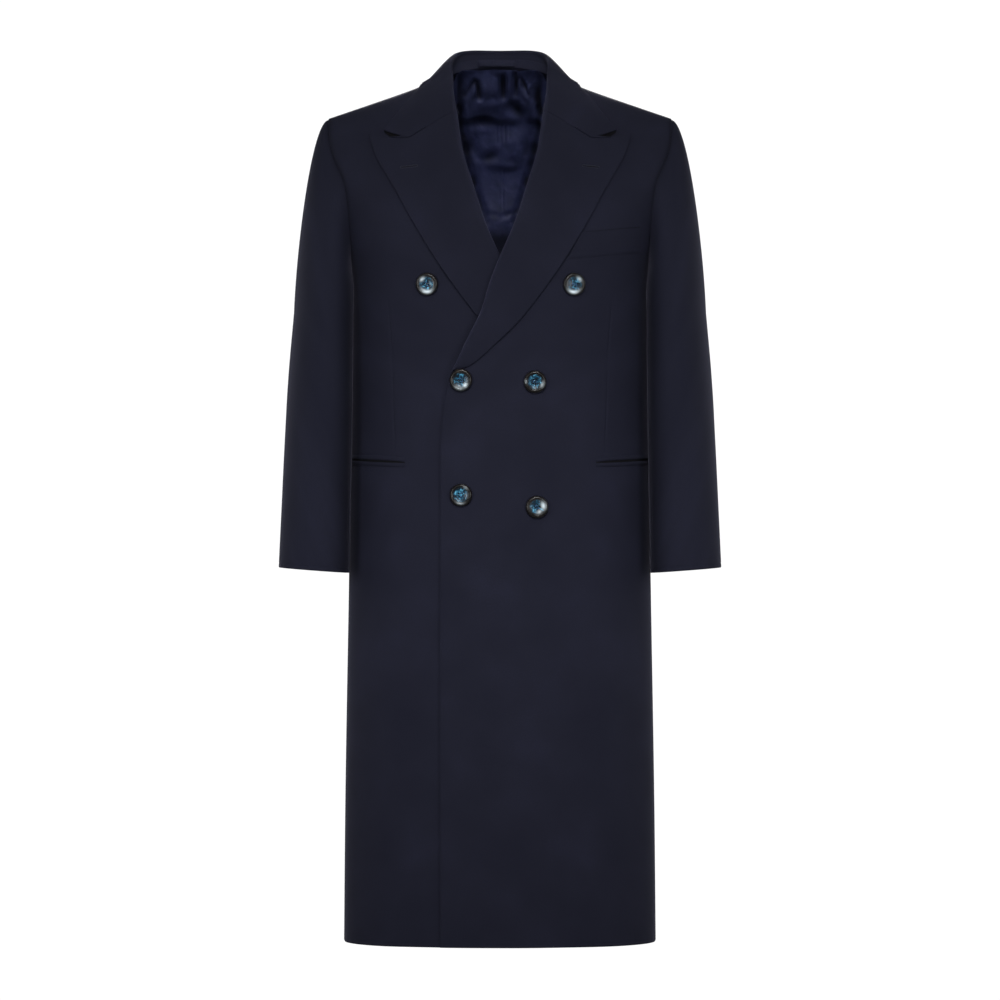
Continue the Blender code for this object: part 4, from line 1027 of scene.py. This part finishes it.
def make_jets(side, side_name):
    """Two rounded lips whose mouth gapes a little, most near its inner end."""
    pieces = []
    for level, direction in (("upper", 1), ("lower", -1)):
        up = spread(8)[:, None]
        along, x, z = jet_grid(lambda along: direction * (
            JET_MOUTH * mix(0.25, 0.75, np.sin(math.pi * along ** 0.7)) + JET_HEIGHT * up))
        lift = JET_LIFT * np.sin(math.pi * mix(0.20, 1.0, up)) * mix(0.55, 1.0, ease(along * 12.0))
        node = f"{level}_jet_{side_name}"
        pieces.append(make_strip(node + "_cloth", side, x, z, lift + THREAD_LIFT, JET_WALL,
                                 WOOL, "navy_wool", node))
    _, x, z = jet_grid(lambda along: JET_MOUTH * mix(-0.6, 0.6, spread(2)[:, None]))
    # Painted shade: a near-black strip in the pocket's mouth
    mouth = make_strip("pocket_mouth_" + side_name, side, x, z, BACKING_LIFT, BACKING_CLOTH, SLIT_SHADE_SHEET)
    return pieces + [mouth]


# Collar


def clear_of_body(points, gap):
    """The points, moved out where they lie nearer than this to the fronts or the backs."""
    for _ in range(SETTLE_STEPS):
        x, y, z = points[..., 0], points[..., 1], points[..., 2]
        angle, fall = place_on_body(x, z)
        face = np.where(y < ridge_shift(x, fall * fall), FRONT, BACK)
        normal = body_normal(angle, fall, face)
        height = np.sum((points - body_point(angle, fall, face)) * normal, axis=-1)
        free = (face == BACK) & (fall < neckline_fall(x))
        points = points + normal * np.where(free, 0.0, np.maximum(gap - height, 0.0))[..., None]
    return points


def collar_fold(step):
    return tracked(COLLAR, step, "fold_x", "fold_y", "fold_z")


def collar_edge(step):
    x, fall = track(COLLAR, step, "edge_x"), track(COLLAR, step, "edge_fall")
    angle, _ = place_on_body(x, ridge_height(x) - fall * fall)
    return body_point(angle, np.abs(fall), np.where(fall < 0.0, FRONT, BACK))


def there_and_back(rows):
    return np.concatenate((rows, rows[-2::-1]))


def both_sides(half):
    """Rows from the right gorge round the back to the left gorge, from the left half's rows."""
    return np.concatenate((mirrored(half, RIGHT), half[-2::-1]))


def fold_radius(step):
    return mix(LAPEL_FOLD, COLLAR_FOLD, ease(step))


def leaf_face(steps, columns):
    """Points of the leaf on the left half, and at the lapel's own height, where the gorge seam joins
    them. Also how far out each point lies, and how thick the leaf is there."""
    step = steps[:, None]
    fold, edge = collar_fold(step), collar_edge(step)
    share = mix(fold_radius(step) / np.linalg.norm(edge - fold, axis=-1), 1.0, columns[None, :])
    points = mix(fold, edge, share[..., None])
    bend = np.maximum(1.0 - step, 0.0)[..., None] ** NOTCH_EASE
    turned = notched(fold[..., ::2], edge[..., ::2], share, COLLAR_NOTCH_SHARE, COLLAR_END_RISE)
    turned[..., 1] += GORGE_GAP
    points[..., ::2] = mix(points[..., ::2], turned, bend)
    pressed = ease((share - COLLAR_EDGE_SHARE) / (1.0 - COLLAR_EDGE_SHARE)) * ease(step - 0.5)
    thick = FOLDED_CLOTH * mix(1.0, COLLAR_EDGE_THICK, pressed)
    gap = mix(LAY_GAP + CLOTH, COLLAR_GAP + thick, ease(step / 1.5))
    share = share * mix(LAPEL_NOTCH_SHARE / COLLAR_NOTCH_SHARE, 1.0, ease(step))
    at_gorge, _ = front_spot(LEFT, points[..., 0], points[..., 2], LAY_GAP + CLOTH + lapel_rise(share))
    return clear_of_body(points, gap), at_gorge, share, thick


def neck_foot(step):
    """The inside of the neck seam, below each step along the collar."""
    height = mix(COLLAR[0].fold_z, ridge_height(NECK_HALF), np.minimum(step / NECK_STEP, 1.0))
    angle, fall = place_on_body(track(FRONT_EDGE, height, "reach"), height)
    in_front = body_point(angle, fall, FRONT) - body_normal(angle, fall, FRONT) * CLOTH
    out = np.clip((CENTRE_BACK_STEP - step) / (CENTRE_BACK_STEP - NECK_STEP), 0.0, 1.0)
    angle = np.arcsin(NECK_SINE * np.sin(math.pi / 2 * out))
    fall = neckline_fall(body_point(angle, 0.0, BACK)[..., 0])
    behind = body_point(angle, fall, BACK) - body_normal(angle, fall, BACK) * CLOTH
    return np.where((step < NECK_STEP)[..., None], in_front, behind)


def make_collar():
    """The leaf, rolled over at its fold and run on down the inside, and the stand below it."""
    steps = CENTRE_BACK_STEP * spread(56, (0.0, 0.006, 2))
    columns = spread(32, (0.0, 0.02, 2), (0.97, 1.0, 3))
    flat, at_gorge, share, thick = leaf_face(steps, columns)
    neck = (0.0, 0.010, -0.05)
    square = mirrored(grid_normals(both_sides(flat), neck)[:len(steps)], RIGHT)
    face = flat + square * (COLLAR_ROLL * np.sin(math.pi * share ** COLLAR_ROLL_SHAPE))[..., None]
    face = both_sides(mix(at_gorge, face, ease(steps / GORGE_BLEND)[:, None, None]))
    foot = both_sides(neck_foot(steps))
    all_steps, thick = there_and_back(steps), there_and_back(thick)

    def down_the_inside(part, start, _):
        return (foot - start) * (1.0 - STAND_SHARE) * part

    normals = grid_normals(face, neck)
    whole = rolled(face, normals, fold_radius(all_steps), down_the_inside)
    leaf_normals = grid_normals(whole, neck)
    leaf_normals *= np.sign(np.sum(leaf_normals[:, -1] * normals[:, -1]))
    unpressed = np.full((len(thick), whole.shape[1] - thick.shape[1]), FOLDED_CLOTH)
    leaf = make_shell("collar_leaf_cloth", whole, leaf_normals, np.concatenate((unpressed, thick), axis=1),
                      WOOL, "navy_wool", "collar_leaf", sewn=(0, -1))
    # Painted highlight along the leaf's roll, fading out towards the back of the neck
    in_front = 1.0 - ease((all_steps - 1.0) / 1.5)
    set_shade(leaf, "pressed", in_front[:, None] * roll_painted_highlight(whole.shape[1]))
    top = whole[:, 2]
    up = spread(8, (0.0, 0.06, 1), (0.94, 1.0, 1))
    stand = mix(foot[:, None], mix(foot, top, STAND_SHARE + STAND_HIDDEN)[:, None], up[None, :, None])
    stand_normals = grid_normals(stand, neck) * -1.0
    stand = stand - stand_normals * STAND_INSET
    stand_piece = make_shell("collar_stand_cloth", stand, stand_normals, STAND_CLOTH, WOOL, "navy_wool",
                             "collar_stand")
    # Painted light: the stand's inside is painted paler all over
    set_shade(stand_piece, "pressed", np.full(stand.shape[:2], STAND_PAINTED_LIGHT))
    return leaf, stand_piece, stand


def make_notch_shade_felt(side, side_name):
    """Black felt from under the collar's end out into the notch, where it paints the notch's shade."""
    beyond = spread(24)[None, :]
    share = mix(COLLAR_NOTCH_SHARE, 1.0, beyond)
    fold, tip = collar_fold(np.array((0.0,))), collar_edge(np.array((0.0,)))
    end = notched(fold[..., ::2], tip[..., ::2], share, COLLAR_NOTCH_SHARE, COLLAR_END_RISE)
    reach = NOTCH_FELT * np.sin(math.pi * mix(0.10, 0.97, beyond)) ** 0.7
    z = end[..., 1] - mix(-FELT_HIDDEN, reach, spread(4)[:, None])
    return make_strip("notch_shade_felt_" + side_name, side, end[..., 0], z, FELT_LIFT, TURNING_CLOTH, NOTCH_SHADE_SHEET)


def make_gorge_seam(side, side_name):
    """The turning behind the gorge seam, just under the cloth."""
    out = spread(30)[None, :]
    gorge = points_of(COLLAR[0].fold_x, COLLAR[0].fold_z)
    line = mix(gorge, np.array((NOTCH_X, NOTCH_Z)), mix(0.03, 0.985, out)[..., None])
    z = line[..., 1] + mix(-GORGE_TURNING, GORGE_TURNING, spread(3)[:, None])
    lift = LAY_GAP + CLOTH + lapel_rise(LAPEL_NOTCH_SHARE * out) - GORGE_DEPTH
    return make_strip("gorge_turning_" + side_name, side, line[..., 0], z, lift, TURNING_CLOTH, WOOL)


# Sleeves


def sleeve_ring_point(turn, height):
    inner_x, outer_x, front_y, back_y = (track(SLEEVE, height, name) for name in SleeveSection._fields[1:])
    cosine, sine = (np.copysign(np.abs(part) ** (2.0 / SLEEVE_SQUARENESS), part)
                    for part in (np.cos(turn), np.sin(turn)))
    across, deep = cosine * (outer_x - inner_x) / 2, sine * (front_y - back_y) / 2
    x = across * math.cos(SLEEVE_TURN) + deep * math.sin(SLEEVE_TURN)
    y = deep * math.cos(SLEEVE_TURN) - across * math.sin(SLEEVE_TURN)
    tilt = CUFF_TILT * ease((SLEEVE[-1].height - height) / (SLEEVE[-1].height - SLEEVE[0].height))
    return points_of(x + (inner_x + outer_x) / 2, y + (front_y + back_y) / 2, height + tilt * x)


def sleeve_cap_point(turn, share):
    face = np.where(np.sin(turn) > 0.0, FRONT, BACK)
    fall = ARMPIT_FALL * np.abs(np.sin(turn / 2))
    below = (1.0 - np.cos(turn)) / 2
    tuck = (ARMHOLE_TUCK + ARMPIT_TUCK * below ** 4)[..., None]
    start = body_point(armhole_angle(fall), fall, face) - np.array((1.0, 0.0, 0.0)) * tuck
    start = start - body_normal(armhole_angle(fall), fall, face) * ARMHOLE_TUCK
    end = sleeve_ring_point(turn, SLEEVE[-1].height)
    span = np.linalg.norm(end - start, axis=-1, keepdims=True)
    outward = points_of(1.0 - CAP_UNDERARM_TUCK * below ** 3, -CAP_FORWARD * np.sin(turn),
                        -CAP_DOWN - CAP_UNDERARM_DOWN * below)
    leaving = unit(outward) * CAP_LEAVING * span
    arriving = np.array((CAP_FLARE, 0.0, -1.0)) * CAP_ARRIVING * span
    return hermite(start, end, leaving, arriving, share[..., None])


def make_sleeve_piece(side, side_name, part, first, last):
    turn = mix(first + SLEEVE_SEAM_TURN, last - SLEEVE_SEAM_TURN,
               spread(int(24 * (last - first)), (0.0, 0.012, 2), (0.988, 1.0, 2)))[None, :]
    cap = sleeve_cap_point(turn, spread(38, (0.0, 0.02, 2))[:, None])
    cuff = SLEEVE[-1].height - SLEEVE[0].height
    down = spread(36, (1.0 - CUFF_ROWS / cuff, 1.0, 12))[1:, None]
    heights = mix(SLEEVE[-1].height, SLEEVE[0].height, down)
    points = np.concatenate((cap, sleeve_ring_point(turn, heights)))
    normals = grid_normals(points, (0.245, -0.018, -0.38))
    round_it = np.broadcast_to((turn + math.pi) % math.tau - math.pi, points.shape[:2]) * SLEEVE_RADIUS
    _, from_armhole = cloth_lengths(points)
    inward = crease_depth(SLEEVE_CREASES[side_name], round_it, points[..., 2])
    sink = ARMHOLE_SINK * np.maximum(np.cos(turn), 0.0)
    inward += sink * np.exp(-(from_armhole / ARMHOLE_SINK_WIDTH) ** 2)
    against_body = np.exp(-((turn - SLEEVE_LEAN_TURN) / SLEEVE_LEAN_SPREAD) ** 2)
    against_body = against_body * ease((ARMPIT_HEIGHT + LEAN_START - points[..., 2]) / LEAN_FADE)
    inward -= SLEEVE_LEAN * against_body
    above_cuff = np.full(points.shape[:2], 1.0)
    above_cuff[len(cap):] = heights - SLEEVE[0].height
    inward += CUFF_PRESS_DEPTH * np.exp(-((above_cuff - CUFF_PRESS_HEIGHT) / CUFF_PRESS_WIDTH) ** 2)
    points = mirrored(points - normals * inward[..., None], side)
    name = f"{part}_sleeve_{side_name}"
    sleeve = make_shell(name + "_cloth", points, mirrored(normals, side), CLOTH, WOOL, "navy_wool", name,
                        sewn=(0,))
    # Painted shade in the armhole's seam and where the sleeve presses on the body
    return set_shade(sleeve, "pressed", armhole_painted_shade(from_armhole) - LEAN_PAINTED_SHADE * against_body)


# Inside the neck


def billow_depth(x, z):
    """How far the lining stands forward where it hangs in billows."""
    forward = np.zeros(np.broadcast(x, z).shape)
    for billow in BILLOWS:
        wave = LEDGE_WAVE * np.sin(x / LEDGE_WAVE_LENGTH + LEDGE_WAVE_PHASE * billow.top)
        level = z + billow.slant * x + wave
        swelling = ease((billow.top - level) / (billow.top - billow.ledge) * 2.0)
        uneven = 1.0 - UNEVEN + UNEVEN * np.sin(x / UNEVEN_LENGTH + UNEVEN_PHASE * billow.top)
        forward += billow.depth * uneven * swelling * (1.0 - ease((billow.ledge - level) / LEDGE))
    return forward


def make_back_lining():
    across = spread(46, (0.365, 0.635, 130))
    angle = mix(-LINING_ANGLE, LINING_ANGLE, across)
    x = body_point(angle, np.full(angle.shape, LINING_LEAST_FALL), BACK)[..., 0]
    up_the_stand = np.sqrt(np.maximum(ridge_height(x) - LINING_TOP, 0.0))
    least = mix(LINING_NECK_FALL, LINING_LEAST_FALL, ease((np.abs(x) - NECK_HALF) / 0.02 + 1.0))
    top = np.maximum(np.minimum(neckline_fall(x) + LINING_TOP_MARGIN, up_the_stand), least)
    fall = mix(top, np.sqrt(ridge_height(x) - LINING_END), spread(150)[:, None])
    angle = np.broadcast_to(angle, fall.shape)
    points, normals = body_point(angle, fall, BACK), body_normal(angle, fall, BACK)
    folds = crease_depth(LINING_CREASES, points[..., 0], points[..., 2])
    loose = LINING_GAP + billow_depth(points[..., 0], points[..., 2]) - folds
    from_edge = np.minimum(across, 1.0 - across) / LINING_LOOSE_SHARE
    inside = CLOTH + mix(LINING_SEAT, np.maximum(loose, LINING_SEAT), ease(from_edge)) + LINING_CLOTH
    face = points - normals * inside[..., None]
    satin = make_shell("back_lining_satin", face, grid_normals(face, (0.0, 0.5, 0.0)), LINING_CLOTH, SATIN,
                       "navy_satin", "back_lining")
    # Painted shade in the folds, deeper folds darker
    return set_shade(satin, "fold_painted_shade", np.clip(folds / FULL_FOLD, 0.0, FOLD_PAINTED_SHADE))


def make_hanger_loop(stand):
    """A narrow strip sewn down at both ends, which bows away from the stand between them."""
    up = LOOP_HEIGHT + LOOP_WIDTH * (spread(6)[:, None] - 0.5)
    along = spread(40)[None, :]
    x = LOOP_CENTRE_X + LOOP_LENGTH * (along - 0.5)
    middle = stand[len(stand) // 2 - 20:len(stand) // 2 + 21]
    low, high = middle[:, 0], middle[:, -1]
    share = (LOOP_HEIGHT - low[:, 2]) / (high[:, 2] - low[:, 2])
    level = mix(low, high, share[:, None])
    order = np.argsort(level[:, 0])
    behind = np.interp(x, level[order, 0], level[order, 1])
    bow = LOOP_BOW * np.sin(math.pi * along) ** 0.8
    down = 0.5 - (up - LOOP_HEIGHT) / LOOP_WIDTH
    y = behind - LAY_GAP - bow - LOOP_TILT * down + LOOP_ROUND * np.cos(math.tau * down)
    face = points_of(x, y, up)
    strip = make_shell("hanger_loop_strip", face, grid_normals(face, (0.0, 0.5, LOOP_HEIGHT)),
                       LOOP_CLOTH, WOOL, "navy_wool", "hanger_loop")
    # Painted light: the loop is painted paler all over
    return set_shade(strip, "pressed", np.full(face.shape[:2], LOOP_PAINTED_LIGHT))


# Buttons


def button_profile(radius):
    """Height of a button's upper face at each radius: a bowl, with a round rim about it."""
    bowl = BUTTON_BOWL + (BUTTON_THICK - BUTTON_BOWL) * (radius / BUTTON_CREST) ** 2
    over = np.clip((radius - BUTTON_CREST) / (BUTTON_RADIUS - BUTTON_CREST), 0.0, 1.0)
    rim = mix(BUTTON_RIM, BUTTON_THICK, np.sqrt(1.0 - over ** 2))
    share = radius / BUTTON_CREST
    step = BUTTON_STEP * ease((share - 0.75) / 0.2) * ease((1.0 - share) / 0.12)
    return np.where(radius < BUTTON_CREST, bowl - step, rim)


def from_hole(x, y):
    """How far a place on a button is from the middle of its nearest hole."""
    return np.hypot(np.abs(x) - HOLE_SPACING, np.abs(y) - HOLE_SPACING)


def make_button(button):
    """A turned four-hole button, leaning a little on its thread, and its pose."""
    over_rim = mix(BUTTON_CREST, BUTTON_RADIUS, np.sin(np.linspace(0.0, math.pi / 2, 12)))
    rings = np.unique(np.concatenate((np.linspace(0.0, BUTTON_FINE, 24),
                                      np.linspace(BUTTON_FINE, BUTTON_CREST, 18), over_rim)))
    sides = 80
    radius, turn = rings[1:, None], np.arange(sides)[None, :] * math.tau / sides
    x, y = radius * np.cos(turn), radius * np.sin(turn)
    height = button_profile(radius) + np.zeros_like(x)
    height = height - HOLE_DEPTH * (1.0 - ease((from_hole(x, y) - HOLE_RADIUS * 0.7) / (HOLE_RADIUS * 0.5)))
    under, under_height = np.array(BUTTON_UNDER).T[..., None]
    rows = [points_of(x, y, height).reshape(-1, 3),
            points_of(under * np.cos(turn), under * np.sin(turn), under_height).reshape(-1, 3)]
    centre = np.array(((0.0, 0.0, button_profile(0.0)), (0.0, 0.0, 0.0)))
    points = np.concatenate((*rows, centre))
    count = len(rings) - 1 + len(under)
    index = np.arange(count * sides).reshape(count, sides)
    after = np.roll(index, -1, axis=1)
    quads = np.stack((index[:-1], index[1:], after[1:], after[:-1]), axis=-1).reshape(-1, 4)
    top = np.stack((np.full(sides, count * sides), index[0], after[0]), axis=-1)
    bottom = np.stack((np.full(sides, count * sides + 1), after[-1], index[-1]), axis=-1)
    lean = max(abs(button.lean_x), abs(button.lean_z))
    seat = BUTTON_SEAT + BUTTON_RADIUS * math.sin(math.radians(lean))
    place, normal = front_spot(button.side, np.array(button.x * button.side), np.array(button.z), seat)
    place, normal = Vector(mirrored(place, button.side)), Vector(mirrored(normal, button.side))
    leaning = Vector((math.radians(button.lean_x), 0.0, math.radians(button.lean_z)))
    pose = Matrix.Translation(place) @ (normal + leaning).to_track_quat("Z", "Y").to_matrix().to_4x4()
    pose = pose @ Matrix.Rotation(math.radians(button.turn), 4, "Z")
    placed = points @ np.array(pose.to_3x3()).T + np.array(pose.translation)
    grain = points[:, :2] + HORN_SHIFT * (len(bpy.data.meshes) + 1)
    mesh = mesh_of(button.name, placed, quads.tolist() + top.tolist() + bottom.tolist(), grain)
    piece = finished(button.name + "_horn", mesh, HORN, "dark_horn", button.name)
    on_top = np.where(from_hole(points[:, 0], points[:, 1]) < HOLE_RADIUS, 0.0, points[:, 2] > 0.001)
    inside = 1.0 - ease((np.hypot(points[:, 0], points[:, 1]) - DISH_RADIUS) / DISH_FADE)
    set_shade(piece, "dish", inside * on_top)
    off = placed - np.array(place)
    radius, turn = np.hypot(off[:, 0], off[:, 2]), np.arctan2(off[:, 2], off[:, 0])
    # Painted glints, each a pale streak laid on the horn at its given place
    pale = np.zeros(len(points))
    for glint in button.streaks:
        turned = turn - math.radians(glint.turn)
        along = np.arctan2(np.sin(turned), np.cos(turned)) * glint.reach / glint.length
        pale += glint.strength * np.exp(-along ** 2 - ((radius - glint.reach) / glint.width) ** 2)
    set_shade(piece, "pale", np.minimum(pale, 1.0) * on_top)
    return piece, pose


def thread_bars(poses):
    """Two bundles of thread across each button, from hole to hole."""
    points, quads = [], []
    sides, stations = 6, 9
    for pose in poses:
        for row in (-1.0, 1.0):
            for strand in STRANDS:
                start = len(points)
                for station in np.linspace(-1.0, 1.0, stations):
                    rise = BUTTON_BOWL + STRAND_RISE * (1.0 - station ** 2) - STRAND_DIP * abs(station) ** 8
                    centre = Vector((HOLE_SPACING * station, HOLE_SPACING * row + strand, rise))
                    for corner in range(sides):
                        turn = math.tau * corner / sides
                        off = Vector((0.0, math.cos(turn), math.sin(turn))) * STRAND_RADIUS
                        points.append(tuple(pose @ (centre + off)))
                for station in range(stations - 1):
                    for corner in range(sides):
                        after = (corner + 1) % sides
                        low, high = start + station * sides, start + (station + 1) * sides
                        quads.append((low + corner, low + after, high + after, high + corner))
                quads.append(tuple(range(start + sides - 1, start - 1, -1)))
                quads.append(tuple(range(start + (stations - 1) * sides, start + stations * sides)))
    mesh = bpy.data.meshes.new("button_threads")
    mesh.from_pydata(points, [], quads)
    return finished("button_threads", mesh, BUTTON_THREAD, None)


# Buttonholes: stitches set along a path


def stitch_tree():
    """Short stitches along a path, each turned from it by an angle about the cloth's own direction."""
    tree = bpy.data.node_groups.new("stitches_along_path", "GeometryNodeTree")
    tree.is_modifier = True
    tree.interface.new_socket("Path", in_out="INPUT", socket_type="NodeSocketGeometry")
    for name in ("Spacing", "Length", "Thickness", "Turn"):
        tree.interface.new_socket(name, in_out="INPUT", socket_type="NodeSocketFloat")
    tree.interface.new_socket("Thread", in_out="INPUT", socket_type="NodeSocketMaterial")
    tree.interface.new_socket("Stitches", in_out="OUTPUT", socket_type="NodeSocketGeometry")
    given = add_node(tree, "NodeGroupInput").outputs
    path = add_node(tree, "GeometryNodeMeshToCurve", {"Mesh": given["Path"]})
    spots = add_node(tree, "GeometryNodeCurveToPoints",
                     {"Curve": path.outputs["Curve"], "Length": given["Spacing"]}, mode="LENGTH")
    square = add_node(tree, "GeometryNodeInputNamedAttribute", {"Name": "square"}, data_type="FLOAT_VECTOR")
    across = add_node(tree, "ShaderNodeVectorRotate",
                      {"Vector": spots.outputs["Tangent"], "Axis": square.outputs["Attribute"],
                       "Angle": given["Turn"]}, rotation_type="AXIS_ANGLE")
    turned = add_node(tree, "FunctionNodeAlignRotationToVector", {"Vector": across.outputs["Vector"]},
                      axis="X")
    size = add_node(tree, "ShaderNodeCombineXYZ",
                    {"X": given["Length"], "Y": given["Thickness"], "Z": given["Thickness"]})
    stitch = add_node(tree, "GeometryNodeMeshUVSphere", {"Segments": 6, "Rings": 5, "Radius": 0.5})
    placed = add_node(tree, "GeometryNodeInstanceOnPoints",
                      {"Points": spots.outputs["Points"], "Instance": stitch.outputs["Mesh"],
                       "Rotation": turned.outputs["Rotation"], "Scale": size.outputs["Vector"]})
    real = add_node(tree, "GeometryNodeRealizeInstances", {"Geometry": placed.outputs["Instances"]})
    sewn = add_node(tree, "GeometryNodeSetMaterial",
                    {"Geometry": real.outputs["Geometry"], "Material": given["Thread"]})
    add_node(tree, "NodeGroupOutput", {"Stitches": sewn.outputs["Geometry"]})
    return tree


def stitched(name, tree, paths, thread, **sizes):
    """A mesh of stitches along closed paths, each a pair of points and directions."""
    points = np.concatenate([path for path, _ in paths])
    square = np.concatenate([directions for _, directions in paths])
    edges, start = [], 0
    for path, _ in paths:
        edges += [(start + place, start + (place + 1) % len(path)) for place in range(len(path))]
        start += len(path)
    mesh = bpy.data.meshes.new(name + "_path")
    mesh.from_pydata(points.tolist(), edges, [])
    mesh.attributes.new("square", "FLOAT_VECTOR", "POINT").data.foreach_set("vector", square.ravel())
    guide = put_in_scene(name + "_path", mesh)
    sewing = guide.modifiers.new("Sewing", "NODES")
    sewing.node_group = tree
    values = dict(sizes, Thread=thread)
    for item in tree.interface.items_tree:
        if item.in_out == "INPUT" and item.name in values:
            sewing[item.identifier] = values[item.name]
    ready = guide.evaluated_get(bpy.context.evaluated_depsgraph_get())
    made = bpy.data.meshes.new_from_object(ready)
    bpy.data.objects.remove(guide, do_unlink=True)
    made.materials.clear()
    return finished(name, made, thread, None)


def on_lapel(side, x, z, lift):
    """Points this far above a lapel's face, and its directions there."""
    points, normals, _ = lapel_face(side)
    flat_points, flat_normals = points.reshape(-1, 3), normals.reshape(-1, 3)
    near = np.hypot(x[:, None] - flat_points[None, :, 0], z[:, None] - flat_points[None, :, 2])
    chosen = np.argsort(near, axis=1)[:, :6]
    weight = 1.0 / (np.take_along_axis(near, chosen, axis=1) + 1e-5) ** 2
    weight /= weight.sum(axis=1, keepdims=True)
    y = np.sum(flat_points[chosen, 1] * weight, axis=1)
    square = unit(np.sum(flat_normals[chosen] * weight[..., None], axis=1))
    return mirrored(points_of(x, y, z) + square * lift, side), mirrored(square, side)


def make_buttonholes():
    """A slit in each lapel, and stitches all round both."""
    paths = []
    for side, side_name in SIDES:
        along = np.linspace(0.0, 1.0, 30)
        x = mix(HOLE_START_X, HOLE_END_X, along)
        z = HOLE_Z + HOLE_SLOPE * (HOLE_END_X - HOLE_START_X) * along
        turn = np.linspace(-math.pi / 2, math.pi / 2, 9)[1:-1]
        loop_x = np.concatenate((x, x[-1] + HOLE_HALF * np.cos(turn),
                                 x[::-1], x[0] - HOLE_HALF * np.cos(turn)))
        loop_z = np.concatenate((z - HOLE_HALF, z[-1] + HOLE_HALF * np.sin(turn),
                                 z[::-1] + HOLE_HALF, z[0] - HOLE_HALF * np.sin(turn)))
        paths.append(on_lapel(side, loop_x, loop_z, THREAD_LIFT))
        # Painted shade: a near-black strip in each buttonhole's slit
        half = HOLE_SLIT * np.sin(math.pi * mix(0.08, 0.92, along)) ** 0.5
        rows = [on_lapel(side, x, z + half * place, BACKING_LIFT) for place in (-1.0, 0.0, 1.0)]
        face, normals = (np.stack(part) for part in zip(*rows))
        make_shell("buttonhole_slit_" + side_name, face, normals, BACKING_CLOTH, SLIT_SHADE_SHEET, None)
    stitched("lapel_buttonhole_stitches", stitch_tree(), paths, HOLE_THREAD, Spacing=0.00055, Length=0.0013,
             Thickness=0.00045, Turn=math.pi / 2)


# The whole coat


def declare(piece):
    del piece["cut"]


welt, welt_mouth = make_chest_welt()
collar_leaf, collar_stand, stand_rows = make_collar()
loop = make_hanger_loop(stand_rows)
lining = make_back_lining()
buttons = [make_button(button) for button in BUTTONS]
thread_bars([pose for _, pose in buttons])
make_buttonholes()
for side, side_name in SIDES:
    front, back = make_front(side, side_name), make_back(side, side_name)
    lapel = make_lapel(side, side_name)
    make_notch_shade_felt(side, side_name)
    make_gorge_seam(side, side_name)
    jets = make_jets(side, side_name)
    top_sleeve = make_sleeve_piece(side, side_name, "top", HINDARM_SEAM - math.tau, FOREARM_SEAM)
    under_sleeve = make_sleeve_piece(side, side_name, "under", FOREARM_SEAM, HINDARM_SEAM)
    declare(front)
    declare(back)
    declare(lapel)
    declare(top_sleeve)
    declare(under_sleeve)
declare(collar_leaf)
declare(collar_stand)
declare(lining)

# Floor, light and camera
FLOOR_HEIGHT, FLOOR_RADIUS, FLOOR_CORNERS = -1.42, 2.3, 96
floor_mesh = bpy.data.meshes.new("floor")
floor_mesh.from_pydata([(FLOOR_RADIUS * math.cos(math.tau * corner / FLOOR_CORNERS),
                         FLOOR_RADIUS * math.sin(math.tau * corner / FLOOR_CORNERS), FLOOR_HEIGHT)
                        for corner in range(FLOOR_CORNERS)], [], [tuple(range(FLOOR_CORNERS))])
floor_mesh.materials.append(floor_paper())
floor = put_in_scene("floor", floor_mesh)

world = bpy.data.worlds.new("white_studio")
world.use_nodes = True
surroundings = world.node_tree.nodes["Background"]
surroundings.inputs["Color"].default_value = (1.0, 1.0, 1.0, 1.0)
# The backdrop is white to look at, and gives only a part of the light
rays = add_node(world.node_tree, "ShaderNodeLightPath")
strength = add_node(world.node_tree, "ShaderNodeMapRange",
                    {"Value": rays.outputs["Is Camera Ray"], "To Min": 0.27, "To Max": 1.05})
world.node_tree.links.new(strength.outputs["Result"], surroundings.inputs["Strength"])
bpy.context.scene.world = world
bpy.context.scene.view_settings.view_transform = "Standard"

Softbox = namedtuple("Softbox", "name place aim width height power spread")
SOFTBOXES = rows_of(Softbox, (
    ("left_softbox", (-1.65, -2.3, -0.25), (0.0, 0.0, -0.52), 0.6, 0.9, 1.9, 44.0),
    ("right_softbox", (1.65, -2.3, -0.25), (0.0, 0.0, -0.52), 0.6, 0.9, 1.9, 44.0),
    ("front_softbox", (0.0, -3.7, 1.55), (0.0, 0.0, -0.65), 1.2, 0.5, 3.1, 25.0),
    ("top_strip", (0.0, -1.9, 2.2), (0.0, 0.0, -0.05), 0.9, 0.12, 3.4, 90.0),
    ("neck_softbox", (0.0, -1.6, 1.9), (0.0, 0.06, 0.085), 0.3, 0.1, 0.14, 10.0),
    ("side_left_softbox", (-3.2, 0.7, 0.1), (0.0, 0.0, -0.50), 0.5, 1.0, 1.1, 30.0),
    ("side_right_softbox", (3.2, 0.7, 0.1), (0.0, 0.0, -0.50), 0.5, 1.0, 1.1, 30.0),
    ("back_softbox", (0.0, 3.7, 1.2), (0.0, 0.0, -0.55), 0.6, 1.0, 5.2, 30.0),
))
for box in SOFTBOXES:
    light = bpy.data.lights.new(box.name, "AREA")
    light.shape, light.size, light.size_y, light.energy = "RECTANGLE", box.width, box.height, box.power
    light.spread = math.radians(box.spread)
    lamp = put_in_scene(box.name, light)
    lamp.location = box.place
    lamp.rotation_euler = (Vector(box.aim) - Vector(box.place)).to_track_quat("-Z", "Y").to_euler()

camera = bpy.data.cameras.new("camera")
camera.lens, camera.sensor_width = 186.67, 36.0
eye = put_in_scene("camera", camera)
eye.location = (0.0, -7.0, -0.508)
eye.rotation_euler = (math.pi / 2, 0.0, 0.0)
bpy.context.scene.camera = eye
